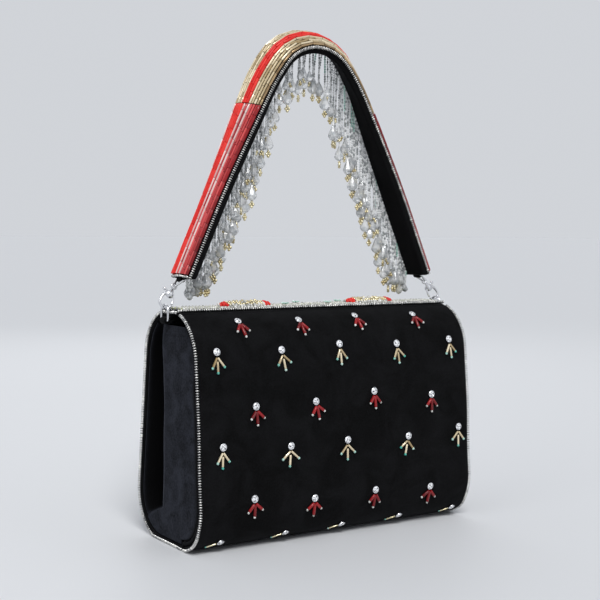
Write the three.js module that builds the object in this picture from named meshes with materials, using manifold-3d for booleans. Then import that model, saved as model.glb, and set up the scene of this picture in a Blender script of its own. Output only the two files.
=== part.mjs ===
// Flap bag: a velvet-covered board body with pleated ends, a front flap hinged below the beaded
// top strip, and a padded arch handle that hooks to two D-rings with lobster clasps.
// Millimetres. X runs along the bag, the flap faces -Y, +Z is up, the origin is on the floor.
import * as THREE from 'three';
import { mergeVertices } from 'three/addons/utils/BufferGeometryUtils.js';
import Module from 'manifold-3d';

const wasm = await Module();
wasm.setup();

// Overall sizes of the bag
const boardLength = 236.4;        // along X, between the board ends
const bagHeight = 166;
const footDepth = 105;            // front to back, measured at the sharp lower corners
const crownDepth = 70.5;          // front to back, measured at the sharp upper corners
const footRadius = 32.7;          // rounding of the lower edges
const crownRadius = 36;           // rounding of the shoulders

// Boards and linings
const flapBoard = 3;
const bodyBoard = 2.6;
const flapGap = 0.6;              // between the closed flap and the inner front panel
const seat = 0.3;                 // clearance of pieces that touch
const hingeSetback = 14.5;        // hinge line in front of the middle of the top
const flapEndAngle = 80;          // how far the flap wraps under the lower edge, degrees
const innerFrontDrop = 54;        // inner front panel ends this far below the top
const liningReveal = 6;           // lining ends this far below the inner front panel
const joggleStart = 18.5;         // where the bottom starts to step up inside the flap
const joggleAngle = 84;           // where that step meets the inner front panel, degrees
const joggleEase = 1.8;
const liningThickness = 0.8;
const liningBackRise = 4;         // lining ends this far above the rear shoulder's start
const baseBoardPlay = 7;          // base board ends inside the board ends
const baseBoardEase = 1.2;        // extra play of the base board at the step

// Pleated ends
const gussetThickness = 1.4;
const gussetDrop = 10.5;           // top hem below the top of the bag
const gussetInset = 1.2;          // end cloth inside the board ends
const pleatShare = 0.63;          // place of the outer crease between front and back
const pleatDepth = 24;
const pleatOpen = 34;             // height where the pleat has its full depth
const pleatSlope = 6;             // the tucked cloth runs back by this much
const pleatFlare = 3;
const pleatBackRoom = 9;          // tucked cloth stays this far from the back panel
const mitreLimit = 0.5;           // least cosine used at a sharp fold

// Closure magnets
const magnetRadius = 8;
const magnetThickness = 1.2;
const magnetHeight = 52;
const magnetPlay = 0.3;

// Ball-chain edging, a plain round cord here
const chainRadius = 1;
const chainHingeGap = 1.4;        // chain ends stay this far from the hinge line
const topChainSetback = 3.4;      // chain line behind the hinge line

// Beads on the top strip
const topBeadsMargin = 4.2;
const topBeadsHeight = 1.6;
const clusterLength = 46;
const clusterWidth = 15;
const clusterHeight = 3.4;
const clusterTaper = 0.6;
const clusterOffset = 56;
const clusterEndSwell = 0.2;      // width left at a cluster's ends, as a share
const clusterStations = [-1, -0.8, -0.4, 0, 0.4, 0.8, 1];

// D-rings and their velvet loops
const ringStandoff = 3.6;         // D-ring plane outside the board ends
const ringBack = 2;               // D-rings sit this far behind the middle
const ringRadius = 5;             // wire centre line of the round end
const ringWire = 1;
const ringLeg = 6;
const ringCorner = 2;
const ringRise = 4;               // wire's centre at the top, above the bag
const tabWidth = 7.2;
const tabThickness = 1.2;
const tabPadLength = 12;
const tabPadInset = 4.5;          // the sewn pad starts this far inside the board end

// Handle
const strapWidth = 28;
const strapThickness = 8;
const strapEdge = 1;              // small bevel along the strap
const strapBack = 5;              // strap's middle plane behind the D-rings
const archRise = 196.5;           // middle of the strap at the top, above the bag
const archEndRise = 22;           // strap ends above the bag
const archSetIn = 16.8;           // strap ends inside the D-ring planes
const archTopTurn = 54;           // degrees turned by the top arc, each side
const archSideRadius = 150;
const archLegLean = 24;           // legs from upright, degrees
const crownTwist = 28;            // the strap tips to the front at the top, degrees
const legTwist = -5;
const twistReach = 110;           // length over which the twist fades
const beadFieldWidth = 23;
const beadFieldHeight = 1.2;
const goldHalfLength = 96;        // gold field, from the top of the arch
const redEndGap = 4;
const fieldJoint = 0.6;
const fringeThickness = 3.5;
const fringeDrop = 46;
const fringeClear = 10;           // above the top of the bag
const fringeEndGap = 12;

// Wire ring and velvet loop at each strap end
const linkWire = 0.8;
const linkBar = 10.6;
const linkFoot = 5.6;
const linkCorner = 1.4;
const loopReach = 2.6;
const loopOut = 1.8;              // towards the strap's outer face
const loopWidth = 6;
const loopWall = 1.1;

// Lobster clasp, along its own axis from the wire it holds
const claspLean = 35;             // towards the middle of the bag, degrees
const claspTip = 13;              // backwards along the D-ring, degrees
const hookInner = 3.1;
const hookWidth = 1.7;
const hookPlay = 0.5;
const hookThickness = 2.4;
const gateTop = 7.2;
const gateSeat = 2.8;             // height of the hook's tip
const gatePlay = 0.5;
const gateWidth = 1.5;
const gateThickness = 2.2;
const gateShoulder = 2;           // overlap of the gate bar and its lever
const cutMargin = 1;              // cutting boxes reach this far past the hook
const shoulderHeight = 6.2;
const housingThickness = 4.2;
const housingStart = 6.8;
const housingEnd = 13.2;
const slotWidth = 2.3;
const pivotAcross = 2;
const pivotAlong = 9.4;
const pinRadius = 0.5;
const pinPlay = 0.3;
const triggerPlate = 1.1;
const triggerBoss = 1.5;
const leverReach = 7.4;
const leverRise = 0.8;
const leverWidth = 1.2;
const knobRadius = 1.1;
const springWidth = 0.5;
const springRadius = 1.45;
const eyeAlong = 15.6;
const eyeRadius = 2.5;
const eyeHole = 1.5;

// Fineness of curves
const arcSteps = 9;
const shortArcSteps = 3;
const cornerSteps = 4;
const loopSteps = 6;
const goldSteps = 15;
const redSteps = 12;
const wireSides = 8;
const chainSides = 6;
const discSides = 24;
const pinSides = 12;
const mergeDistance = 1e-4;

const rad = THREE.MathUtils.degToRad;
const upright = new THREE.Matrix4().makeBasis(
  new THREE.Vector3(0, 1, 0),
  new THREE.Vector3(0, 0, 1),
  new THREE.Vector3(1, 0, 0),
);

// Materials
function finish(color, roughness, metalness) {
  return new THREE.MeshStandardMaterial({ color, roughness, metalness });
}
const velvet = finish(0x0b0b0d, 0.95, 0);
const gussetVelvet = finish(0x1d1f28, 0.95, 0);
const liningCloth = finish(0x2a2426, 0.7, 0);
const fibreBoard = finish(0x3a332c, 0.9, 0);
const silver = finish(0xc9cbcd, 0.22, 1);
const steel = finish(0x8f9194, 0.35, 1);
const goldBead = finish(0xc9a867, 0.3, 0.6);
const redBead = finish(0xd8362f, 0.25, 0);
const crystal = finish(0xe6eaec, 0.12, 0);

// Closed-mesh helpers

// A solid for joining and cutting, from a closed geometry.
function toSolid(geometry) {
  const bare = geometry.clone();
  bare.deleteAttribute('normal');
  bare.deleteAttribute('uv');
  const merged = mergeVertices(bare, mergeDistance);
  const vertProperties = Float32Array.from(merged.attributes.position.array);
  const triVerts = Uint32Array.from(merged.index.array);
  return new wasm.Manifold(new wasm.Mesh({ numProp: 3, vertProperties, triVerts }));
}

function fromSolid(solid) {
  const mesh = solid.getMesh();
  const geometry = new THREE.BufferGeometry();
  geometry.setAttribute('position', new THREE.BufferAttribute(mesh.vertProperties, 3));
  geometry.setIndex(new THREE.BufferAttribute(mesh.triVerts, 1));
  geometry.computeVertexNormals();
  return geometry;
}

function joinAll(geometries) {
  const solids = geometries.map(toSolid);
  return solids.reduce((sum, next) => sum.add(next));
}

// Geometry from points and triangles, turned outward by the sign of its volume.
function closedMesh(points, triangles) {
  const volume = triangles.reduce((sum, [a, b, c]) => {
    const cross = new THREE.Vector3().crossVectors(points[b], points[c]);
    return sum + points[a].dot(cross);
  }, 0);
  const facing = volume < 0 ? triangles.map(([a, b, c]) => [a, c, b]) : triangles;
  const geometry = new THREE.BufferGeometry().setFromPoints(points);
  geometry.setIndex(facing.flat());
  geometry.computeVertexNormals();
  return geometry;
}

// Convex sections joined in a row: a ring when closed, otherwise with flat ends.
function loft(sections, closed) {
  const count = sections[0].length;
  const points = sections.flat();
  const triangles = [];
  const spans = closed ? sections.length : sections.length - 1;
  for (let row = 0; row < spans; row += 1) {
    const here = row * count;
    const there = ((row + 1) % sections.length) * count;
    for (let side = 0; side < count; side += 1) {
      const next = (side + 1) % count;
      triangles.push([here + side, here + next, there + next]);
      triangles.push([here + side, there + next, there + side]);
    }
  }
  if (!closed) {
    const last = (sections.length - 1) * count;
    for (let side = 1; side < count - 1; side += 1) {
      triangles.push([0, side + 1, side]);
      triangles.push([last, last + side, last + side + 1]);
    }
  }
  return closedMesh(points, triangles);
}

// A sheet with thickness, from matching grids of points on its two faces.
function sheet(front, back) {
  const rows = front.length;
  const columns = front[0].length;
  const points = [...front.flat(), ...back.flat()];
  const offset = rows * columns;
  const triangles = [];
  const quad = (a, b, c, d) => triangles.push([a, b, c], [a, c, d]);
  for (let r = 0; r < rows - 1; r += 1) {
    for (let c = 0; c < columns - 1; c += 1) {
      const corner = r * columns + c;
      quad(corner, corner + 1, corner + columns + 1, corner + columns);
      quad(offset + corner, offset + corner + columns, offset + corner + columns + 1, offset + corner + 1);
    }
  }
  for (let c = 0; c < columns - 1; c += 1) {
    const far = (rows - 1) * columns + c;
    quad(c, offset + c, offset + c + 1, c + 1);
    quad(far, far + 1, offset + far + 1, offset + far);
  }
  for (let r = 0; r < rows - 1; r += 1) {
    const near = r * columns;
    const far = near + columns - 1;
    quad(near, near + columns, offset + near + columns, offset + near);
    quad(far, offset + far, offset + far + columns, far + columns);
  }
  return closedMesh(points, triangles);
}

// Sections of a flat outline carried along a path; each frame has a place and two directions.
function sweep(frames, outline, closed = false) {
  const sections = frames.map(({ place, across, out }) => outline.map((corner) => place.clone()
    .addScaledVector(across, corner.x)
    .addScaledVector(out, corner.y)));
  return loft(sections, closed);
}

// Frames from points and an outward direction for each.
function framesAlong(points, outs, closed = false) {
  const count = points.length;
  return points.map((place, index) => {
    const before = closed ? points[(index + count - 1) % count] : points[Math.max(index - 1, 0)];
    const after = closed ? points[(index + 1) % count] : points[Math.min(index + 1, count - 1)];
    const along = after.clone().sub(before).normalize();
    const out = outs[index].clone().addScaledVector(along, -outs[index].dot(along)).normalize();
    const across = new THREE.Vector3().crossVectors(along, out);
    return { place, across, out };
  });
}

function steps(from, to, count) {
  return Array.from({ length: count + 1 }, (_, step) => from + ((to - from) * step) / count);
}

function disc(radius, sides) {
  const turn = (2 * Math.PI) / sides;
  return Array.from({ length: sides }, (_, side) => new THREE.Vector2(
    radius * Math.cos((side + 0.5) * turn),
    radius * Math.sin((side + 0.5) * turn),
  ));
}

// A round wire through points that lie in one plane.
function wire(points, planeNormal, radius, sides, closed) {
  const outs = points.map(() => planeNormal);
  return sweep(framesAlong(points, outs, closed), disc(radius, sides), closed);
}

// An end outline in Y and Z, drawn out along X about the middle.
function drawOut(outline, length) {
  const shape = new THREE.Shape(outline);
  const geometry = new THREE.ExtrudeGeometry(shape, { depth: length, bevelEnabled: false });
  geometry.translate(0, 0, -length / 2);
  return geometry.applyMatrix4(upright);
}

// A flat shape in X and Z, with its thickness along Y about the middle.
function plate(shape, thickness, curveSegments = 8) {
  const options = { depth: thickness, bevelEnabled: false, curveSegments };
  const geometry = new THREE.ExtrudeGeometry(shape, options);
  geometry.rotateX(Math.PI / 2);
  geometry.translate(0, thickness / 2, 0);
  return geometry;
}

// End profile of the bag: four arcs with straight tangents, as angles seen from the -X end
const lean = Math.atan2((footDepth - crownDepth) / 2, bagHeight);
const footCentre = footDepth / 2 - (footRadius * (1 + Math.sin(lean))) / Math.cos(lean);
const crownHeight = bagHeight - crownRadius;
const crownCentre = footDepth / 2 - (crownRadius + crownHeight * Math.sin(lean)) / Math.cos(lean);
const arcs = {
  crownFront: { y: -crownCentre, z: crownHeight, radius: crownRadius },
  crownBack: { y: crownCentre, z: crownHeight, radius: crownRadius },
  footFront: { y: -footCentre, z: footRadius, radius: footRadius },
  footBack: { y: footCentre, z: footRadius, radius: footRadius },
};
const frontAngle = Math.PI - lean;
const backAngle = lean;
const topAngle = Math.PI / 2;
const floorAngle = -Math.PI / 2;
const hingeAngle = Math.acos((crownCentre - hingeSetback) / crownRadius);
const flapEnd = Math.PI + rad(flapEndAngle);
const innerFront = flapBoard + flapGap;
const innerFrontHeight = bagHeight - innerFrontDrop;

function onArc(arc, angle, inset) {
  const reach = arc.radius - inset;
  return new THREE.Vector2(arc.y + reach * Math.cos(angle), arc.z + reach * Math.sin(angle));
}

function arcRun(arc, from, to, inset, count = arcSteps) {
  return steps(from, to, count).map((angle) => onArc(arc, angle, inset));
}

// Distance of the profile from the middle plane at a height, front or back.
function halfDepth(height, inset) {
  const crown = crownHeight + (crownRadius - inset) * Math.sin(lean);
  const foot = footRadius + (footRadius - inset) * Math.sin(lean);
  if (height > crown) {
    return crownCentre + Math.sqrt(Math.max((crownRadius - inset) ** 2 - (height - crownHeight) ** 2, 0));
  }
  if (height < foot) {
    return footCentre + Math.sqrt(Math.max((footRadius - inset) ** 2 - (height - footRadius) ** 2, 0));
  }
  return footDepth / 2 - height * Math.tan(lean) - inset / Math.cos(lean);
}

function onFront(height, inset) {
  return new THREE.Vector2(-halfDepth(height, inset), height);
}

function onBack(height, inset) {
  return new THREE.Vector2(halfDepth(height, inset), height);
}

// Angle on the rear lower arc at a height.
function footBackAngle(height, inset) {
  return Math.asin((height - footRadius) / (footRadius - inset));
}

const boardEnd = boardLength / 2;
const chainPlane = boardEnd + seat + chainRadius;

// Front flap: over the shoulder, down the front and round the lower edge
const flapMagnetFace = flapBoard - seat;
const flapMagnetBack = flapMagnetFace - magnetThickness;

// Disc square to the front panel, between two depths from its face.
function magnetAt(radius, shallow, deep) {
  const thickness = deep - shallow;
  const geometry = new THREE.CylinderGeometry(radius, radius, thickness, discSides);
  const inward = new THREE.Vector3(0, Math.cos(lean), -Math.sin(lean));
  const place = onFront(magnetHeight, 0);
  const middle = new THREE.Vector3(0, place.x, place.y).addScaledVector(inward, (shallow + deep) / 2);
  const turn = new THREE.Quaternion().setFromUnitVectors(new THREE.Vector3(0, 1, 0), inward);
  return geometry.applyQuaternion(turn).translate(middle.x, middle.y, middle.z);
}

function flapPanel() {
  const start = hingeAngle + seat / crownRadius;
  const face = (inset) => [
    ...arcRun(arcs.crownFront, start, frontAngle, inset),
    ...arcRun(arcs.footFront, frontAngle, flapEnd, inset),
  ];
  const board = drawOut([...face(0), ...face(flapBoard).reverse()], boardLength);
  const pocket = magnetAt(magnetRadius + magnetPlay, flapMagnetBack - seat, flapBoard + seat);
  return fromSolid(toSolid(board).subtract(toSolid(pocket)));
}

// Body: top strip, back, bottom and inner front panel, one folded board
const bodyMagnetFace = innerFront + seat;
const bodyMagnetBack = bodyMagnetFace + magnetThickness;

function bodyShell() {
  const joggleEnd = Math.PI + rad(joggleAngle);
  const face = (inset, ease) => [
    ...arcRun(arcs.crownFront, hingeAngle, topAngle, inset, shortArcSteps),
    ...arcRun(arcs.crownBack, topAngle, backAngle, inset),
    ...arcRun(arcs.footBack, backAngle, floorAngle, inset),
    new THREE.Vector2(-joggleStart + ease, inset),
    ...arcRun(arcs.footFront, joggleEnd, frontAngle, innerFront + inset),
    onFront(innerFrontHeight, innerFront + inset),
  ];
  const board = drawOut([...face(0, 0), ...face(bodyBoard, joggleEase).reverse()], boardLength);
  const pocket = magnetAt(magnetRadius + magnetPlay, innerFront - seat, bodyMagnetBack + seat);
  return fromSolid(toSolid(board).subtract(toSolid(pocket)));
}

const floorInside = innerFront + bodyBoard;

function baseBoard() {
  const inset = bodyBoard + seat;
  const backEdge = arcRun(arcs.footBack, floorAngle, footBackAngle(floorInside, inset), inset, cornerSteps);
  const front = -joggleStart + joggleEase + baseBoardEase;
  const outline = [
    new THREE.Vector2(front, inset),
    ...backEdge,
    new THREE.Vector2(front, floorInside),
  ];
  return drawOut(outline, boardLength - 2 * baseBoardPlay);
}

function lining() {
  const reach = boardEnd - gussetInset - gussetThickness - pleatDepth - pleatFlare - seat;
  const run = (depth) => {
    const front = floorInside + depth;
    const back = bodyBoard + depth;
    return [
      onFront(innerFrontHeight - liningReveal, front),
      ...arcRun(arcs.footFront, frontAngle, floorAngle + 2 * Math.PI, front),
      ...arcRun(arcs.footBack, footBackAngle(front, back), backAngle, back, loopSteps),
      onBack(crownHeight + liningBackRise, back),
    ];
  };
  return drawOut([...run(seat), ...run(seat + liningThickness).reverse()], 2 * reach);
}

// Pleated end: flat behind the front panel to an outer crease, tucked in, and back along the rear
function gusset(side) {
  const low = floorInside + seat + gussetThickness;
  const half = gussetThickness / 2;
  const levels = [
    ...steps(low, pleatOpen, cornerSteps),
    ...steps(pleatOpen, crownHeight, 2).slice(1),
    ...steps(crownHeight, bagHeight - gussetDrop, cornerSteps).slice(1),
  ];
  const rows = levels.map((height) => {
    const tuck = THREE.MathUtils.smoothstep(height, low, pleatOpen);
    const front = -halfDepth(height, floorInside + seat + half);
    const back = halfDepth(height, bodyBoard + seat + half);
    const crease = front + pleatShare * (back - front);
    const outer = boardEnd - gussetInset - half;
    const inner = outer - pleatDepth * tuck;
    const plan = [
      [outer, front],
      [outer + gussetInset / 2, crease],
      [inner, Math.min(crease + pleatSlope * tuck + pleatFlare, back - pleatBackRoom)],
      [inner - pleatFlare * tuck, back - pleatFlare * (1 - tuck)],
      [outer, back],
    ];
    return plan.map(([x, y]) => new THREE.Vector2(side * x, y));
  });
  const face = (shift) => rows.map((plan, row) => plan.map((point, index) => {
    const before = plan[Math.max(index - 1, 0)];
    const after = plan[Math.min(index + 1, plan.length - 1)];
    const inward = point.clone().sub(before);
    const outward = after.clone().sub(point);
    const first = (inward.lengthSq() > 0 ? inward : outward).clone().normalize();
    const second = (outward.lengthSq() > 0 ? outward : inward).clone().normalize();
    const mean = first.clone().add(second).normalize();
    const mitre = Math.max(mean.dot(first), mitreLimit);
    const normal = new THREE.Vector2(-mean.y, mean.x);
    const place = point.clone().addScaledVector(normal, shift / mitre);
    return new THREE.Vector3(place.x, place.y, levels[row]);
  }));
  return sheet(face(half), face(-half));
}

// Ball chain round the ends and along the top
function endChain(points, side) {
  const places = points.map((point) => new THREE.Vector3(side * chainPlane, point.x, point.y));
  return wire(places, new THREE.Vector3(1, 0, 0), chainRadius, chainSides, false);
}

function flapChain(side) {
  const start = hingeAngle + chainHingeGap / crownRadius;
  const run = [
    ...arcRun(arcs.crownFront, start, frontAngle, chainRadius),
    ...arcRun(arcs.footFront, frontAngle, flapEnd, chainRadius),
  ];
  return endChain(run, side);
}

function bodyChain(side) {
  const start = hingeAngle - chainHingeGap / crownRadius;
  const run = [
    ...arcRun(arcs.crownFront, start, topAngle, chainRadius, shortArcSteps),
    ...arcRun(arcs.crownBack, topAngle, backAngle, chainRadius),
    ...arcRun(arcs.footBack, backAngle, floorAngle, chainRadius),
    new THREE.Vector2(-joggleStart, chainRadius),
  ];
  return endChain(run, side);
}

const frontChainAngle = hingeAngle - topChainSetback / crownRadius;

function topChain(angle, arc) {
  const place = onArc(arc, angle, -seat - chainRadius);
  const ends = [-1, 1].map((end) => new THREE.Vector3(end * boardEnd, place.x, place.y));
  return wire(ends, new THREE.Vector3(0, 0, 1), chainRadius, chainSides, false);
}

// Beads on the top strip: a thin field and two raised clusters
function topBeads() {
  const margin = (2 * chainRadius + seat) / crownRadius;
  const run = (height) => [
    ...arcRun(arcs.crownFront, frontChainAngle - margin, topAngle, -height, shortArcSteps),
    ...arcRun(arcs.crownBack, topAngle, Math.PI - frontChainAngle + margin, -height, shortArcSteps),
  ];
  return drawOut([...run(seat + topBeadsHeight), ...run(seat).reverse()], boardLength - 2 * topBeadsMargin);
}

function beadCluster(side) {
  const low = bagHeight + seat + topBeadsHeight + seat;
  const sections = clusterStations.map((share) => {
    const swell = Math.sqrt(1 + clusterEndSwell ** 2 - share * share);
    const x = side * clusterOffset + (share * clusterLength) / 2;
    const half = (clusterWidth / 2) * swell;
    const high = low + clusterHeight * swell;
    return [
      new THREE.Vector3(x, -half, low),
      new THREE.Vector3(x, half, low),
      new THREE.Vector3(x, half * clusterTaper, high),
      new THREE.Vector3(x, -half * clusterTaper, high),
    ];
  });
  return loft(sections, false);
}

// D-ring and its velvet loop, both built at the -X end with the ring's round end at the origin
const ringOut = boardEnd + ringStandoff;
const ringAxis = bagHeight + ringRise - ringRadius;

function dRing() {
  const outline = new THREE.Path();
  outline.absarc(0, 0, ringRadius, 0, Math.PI, false);
  outline.lineTo(-ringRadius, ringCorner - ringLeg);
  const inset = ringRadius - ringCorner;
  outline.absarc(-inset, ringCorner - ringLeg, ringCorner, Math.PI, 1.5 * Math.PI, false);
  outline.absarc(inset, ringCorner - ringLeg, ringCorner, 1.5 * Math.PI, 2 * Math.PI, false);
  outline.closePath();
  const places = outline.getPoints(cornerSteps).slice(0, -1);
  const points = places.map((place) => new THREE.Vector3(0, place.x, place.y));
  return wire(points, new THREE.Vector3(1, 0, 0), ringWire, wireSides, true);
}

// Two layers of velvet: a pad under the top strip, a slope, and a round loop about the ring's bar.
function ringTab() {
  const padTop = bagHeight - bodyBoard - 1.5 * seat - ringAxis;
  const padOuter = ringOut - boardEnd + tabPadInset;
  const padInner = padOuter + tabPadLength;
  const bore = ringWire + seat;
  const loop = bore + tabThickness;
  const bar = -ringLeg;
  const slope = Math.atan2(padTop - bar, padOuter);
  const upperTangent = new THREE.Vector2(-Math.sin(slope) * loop, bar + Math.cos(slope) * loop);
  const lowerTangent = new THREE.Vector2(Math.sin(slope) * loop, bar - Math.cos(slope) * loop);
  const shape = new THREE.Shape();
  shape.moveTo(padInner, padTop);
  shape.lineTo(padOuter, padTop);
  shape.lineTo(upperTangent.x, upperTangent.y);
  shape.absarc(0, bar, loop, slope + Math.PI / 2, slope + 1.5 * Math.PI, false);
  shape.lineTo(lowerTangent.x, lowerTangent.y);
  shape.lineTo(padOuter + loop, padTop - 2 * tabThickness);
  shape.lineTo(padInner, padTop - 2 * tabThickness);
  shape.closePath();
  const hole = new THREE.Path();
  hole.absarc(0, bar, bore, 0, 2 * Math.PI, true);
  shape.holes.push(hole);
  return plate(shape, tabWidth, loopSteps);
}

// Handle: the arch's middle line, a top arc, two wide side arcs and straight legs
const topTurn = rad(archTopTurn);
const legTurn = Math.PI / 2 - rad(archLegLean);
const sideDrop = archSideRadius * (Math.cos(topTurn) - Math.cos(legTurn));
const sideRun = archSideRadius * (Math.sin(legTurn) - Math.sin(topTurn));

// The top arc's radius brings the straight legs down to the strap ends.
const legRun = (archRise - archEndRise - sideDrop) / Math.tan(legTurn);
const gain = Math.sin(topTurn) - (1 - Math.cos(topTurn)) / Math.tan(legTurn);
const archTopRadius = (ringOut - archSetIn - sideRun - legRun) / gain;
const topDrop = archTopRadius * (1 - Math.cos(topTurn));
const topLength = archTopRadius * topTurn;
const sideLength = archSideRadius * (legTurn - topTurn);
const legLength = (archRise - archEndRise - topDrop - sideDrop) / Math.sin(legTurn);
const strapReach = topLength + sideLength + legLength;

// Place and slope of the middle line at a length from the top, negative to the left.
function archStation(reach) {
  const side = Math.sign(reach);
  const run = Math.abs(reach);
  const top = bagHeight + archRise;
  if (run <= topLength) {
    const turn = run / archTopRadius;
    const x = archTopRadius * Math.sin(turn);
    const z = top - archTopRadius * (1 - Math.cos(turn));
    return { x: side * x, z, turn: side * turn, reach };
  }
  const kneeX = archTopRadius * Math.sin(topTurn);
  if (run <= topLength + sideLength) {
    const turn = topTurn + (run - topLength) / archSideRadius;
    const x = kneeX + archSideRadius * (Math.sin(turn) - Math.sin(topTurn));
    const z = top - topDrop - archSideRadius * (Math.cos(topTurn) - Math.cos(turn));
    return { x: side * x, z, turn: side * turn, reach };
  }
  const leg = run - topLength - sideLength;
  const x = kneeX + sideRun + leg * Math.cos(legTurn);
  const z = top - topDrop - sideDrop - leg * Math.sin(legTurn);
  return { x: side * x, z, turn: side * legTurn, reach };
}

// Frame of the strap at a station: place, direction to the rear edge, and outward direction.
function strapFrame(station) {
  const fade = THREE.MathUtils.smoothstep(twistReach - Math.abs(station.reach), 0, twistReach);
  const twist = rad(legTwist + (crownTwist - legTwist) * fade);
  const outward = new THREE.Vector3(Math.sin(station.turn), 0, Math.cos(station.turn));
  const rear = new THREE.Vector3(0, 1, 0);
  const across = rear.clone().multiplyScalar(Math.cos(twist)).addScaledVector(outward, Math.sin(twist));
  const out = outward.clone().multiplyScalar(Math.cos(twist)).addScaledVector(rear, -Math.sin(twist));
  const place = new THREE.Vector3(station.x, strapBack, station.z - ringAxis);
  return { place, across, out, outward, twist, reach: station.reach };
}

// Sections every few millimetres, and at the ends of the bead fields and of the chain
const redOuter = strapReach - redEndGap;
const redInner = goldHalfLength + fieldJoint;
const chainEnd = strapReach - 2 * chainRadius;
const halfReaches = [
  ...steps(0, goldHalfLength, goldSteps),
  ...steps(redInner, redOuter, redSteps),
  chainEnd,
  strapReach,
];
const strapReaches = [...halfReaches.slice(1).reverse().map((reach) => -reach), ...halfReaches];
const strapFrames = strapReaches.map((reach) => strapFrame(archStation(reach)));
const strapStart = strapFrames[0];

function framesBetween(from, to) {
  return strapFrames.filter((frame) => frame.reach >= from && frame.reach <= to);
}

function band(halfWidth, low, high, bevel) {
  return [
    new THREE.Vector2(-halfWidth, low + bevel),
    new THREE.Vector2(-halfWidth + bevel, low),
    new THREE.Vector2(halfWidth - bevel, low),
    new THREE.Vector2(halfWidth, low + bevel),
    new THREE.Vector2(halfWidth, high - bevel),
    new THREE.Vector2(halfWidth - bevel, high),
    new THREE.Vector2(-halfWidth + bevel, high),
    new THREE.Vector2(-halfWidth, high - bevel),
  ];
}

function strap() {
  const half = strapThickness / 2;
  return sweep(strapFrames, band(strapWidth / 2, -half, half, strapEdge));
}

function beadField(from, to) {
  const low = strapThickness / 2 + seat;
  // Drawn the other way round, so that its lower facets split as the strap's upper ones do
  const outline = band(beadFieldWidth / 2, low, low + beadFieldHeight, beadFieldHeight / 4).reverse();
  return sweep(framesBetween(from, to), outline);
}

function strapChain() {
  const edge = strapWidth / 2 - strapEdge - chainRadius / 4;
  const lift = strapThickness / 2 + seat + chainRadius;
  const frames = framesBetween(-chainEnd, chainEnd);
  const onEdge = (side) => frames.map((frame) => ({
    place: frame.place.clone().addScaledVector(frame.across, side * edge).addScaledVector(frame.out, lift),
    out: frame.out,
  }));
  const loop = [...onEdge(-1), ...onEdge(1).reverse()];
  const places = loop.map((stop) => stop.place);
  const outs = loop.map((stop) => stop.out);
  return sweep(framesAlong(places, outs, true), disc(chainRadius, chainSides), true);
}

// Fringe: a thin curtain below the strap's inner face
function beadFringe() {
  const half = fringeThickness / 2;
  const frames = strapFrames.filter((frame) => Math.abs(frame.reach) < strapReach - fringeEndGap);
  const upper = frames.map((frame) => {
    const clear = strapThickness / 2 / Math.cos(frame.twist) + half * Math.tan(Math.abs(frame.twist)) + seat;
    const hang = frame.place.clone().addScaledVector(frame.outward, -clear);
    return new THREE.Vector2(hang.x, hang.z);
  });
  const floor = bagHeight + fringeClear - ringAxis;
  const lower = upper.map((point) => new THREE.Vector2(point.x, Math.max(point.y - fringeDrop, floor)));
  const shape = new THREE.Shape([...upper, ...lower.reverse()]);
  return plate(shape, fringeThickness).translate(0, strapBack, 0);
}

// Strap-end loop, in the plane of the leg, about the bar of the wire ring
const legDown = new THREE.Vector3(-Math.sin(rad(archLegLean)), 0, -Math.cos(rad(archLegLean)));
const loopBore = linkWire + seat;
const linkBarPlace = strapStart.place.clone()
  .addScaledVector(legDown, loopReach)
  .addScaledVector(strapStart.outward, loopOut);

function strapTab() {
  const outer = loopBore + loopWall;
  const neck = loopReach - seat;
  const shape = new THREE.Shape();
  shape.moveTo(outer, neck);
  shape.lineTo(-outer, neck);
  shape.lineTo(-outer, 0);
  shape.absarc(0, 0, outer, Math.PI, 2 * Math.PI, false);
  shape.closePath();
  const hole = new THREE.Path();
  hole.absarc(0, 0, loopBore, 0, 2 * Math.PI, true);
  shape.holes.push(hole);
  return plate(shape, loopWidth, loopSteps).rotateY(rad(archLegLean));
}

// Lobster clasp, with the wire it holds at the origin and its axis along Z
const hookCentre = hookInner - ringWire - hookPlay;
const hookOuter = hookInner + hookWidth;
const gateMiddle = hookInner + hookWidth / 2;

function boxAt(x0, x1, thickness, z0, z1) {
  const geometry = new THREE.BoxGeometry(x1 - x0, thickness, z1 - z0);
  return geometry.translate((x0 + x1) / 2, 0, (z0 + z1) / 2);
}

function pinHole(radius) {
  const geometry = new THREE.CylinderGeometry(radius, radius, 2 * housingThickness, pinSides);
  return geometry.translate(pivotAcross, 0, pivotAlong);
}

function claspOutline() {
  const shape = new THREE.Shape();
  const neck = eyeAlong - eyeRadius / 2;
  const neckHalf = Math.sqrt(eyeRadius ** 2 - (eyeRadius / 2) ** 2);
  const bend = (shoulderHeight + neck) / 2;
  shape.moveTo(-hookOuter, hookCentre);
  shape.absarc(0, hookCentre, hookOuter, Math.PI, 2 * Math.PI, false);
  shape.lineTo(hookOuter, shoulderHeight);
  shape.bezierCurveTo(hookOuter, bend, neckHalf, bend, neckHalf, neck);
  shape.absarc(0, eyeAlong, eyeRadius, -Math.PI / 6, (7 * Math.PI) / 6, false);
  shape.bezierCurveTo(-neckHalf, bend, -hookOuter, bend, -hookOuter, shoulderHeight);
  shape.closePath();
  return shape;
}

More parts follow.
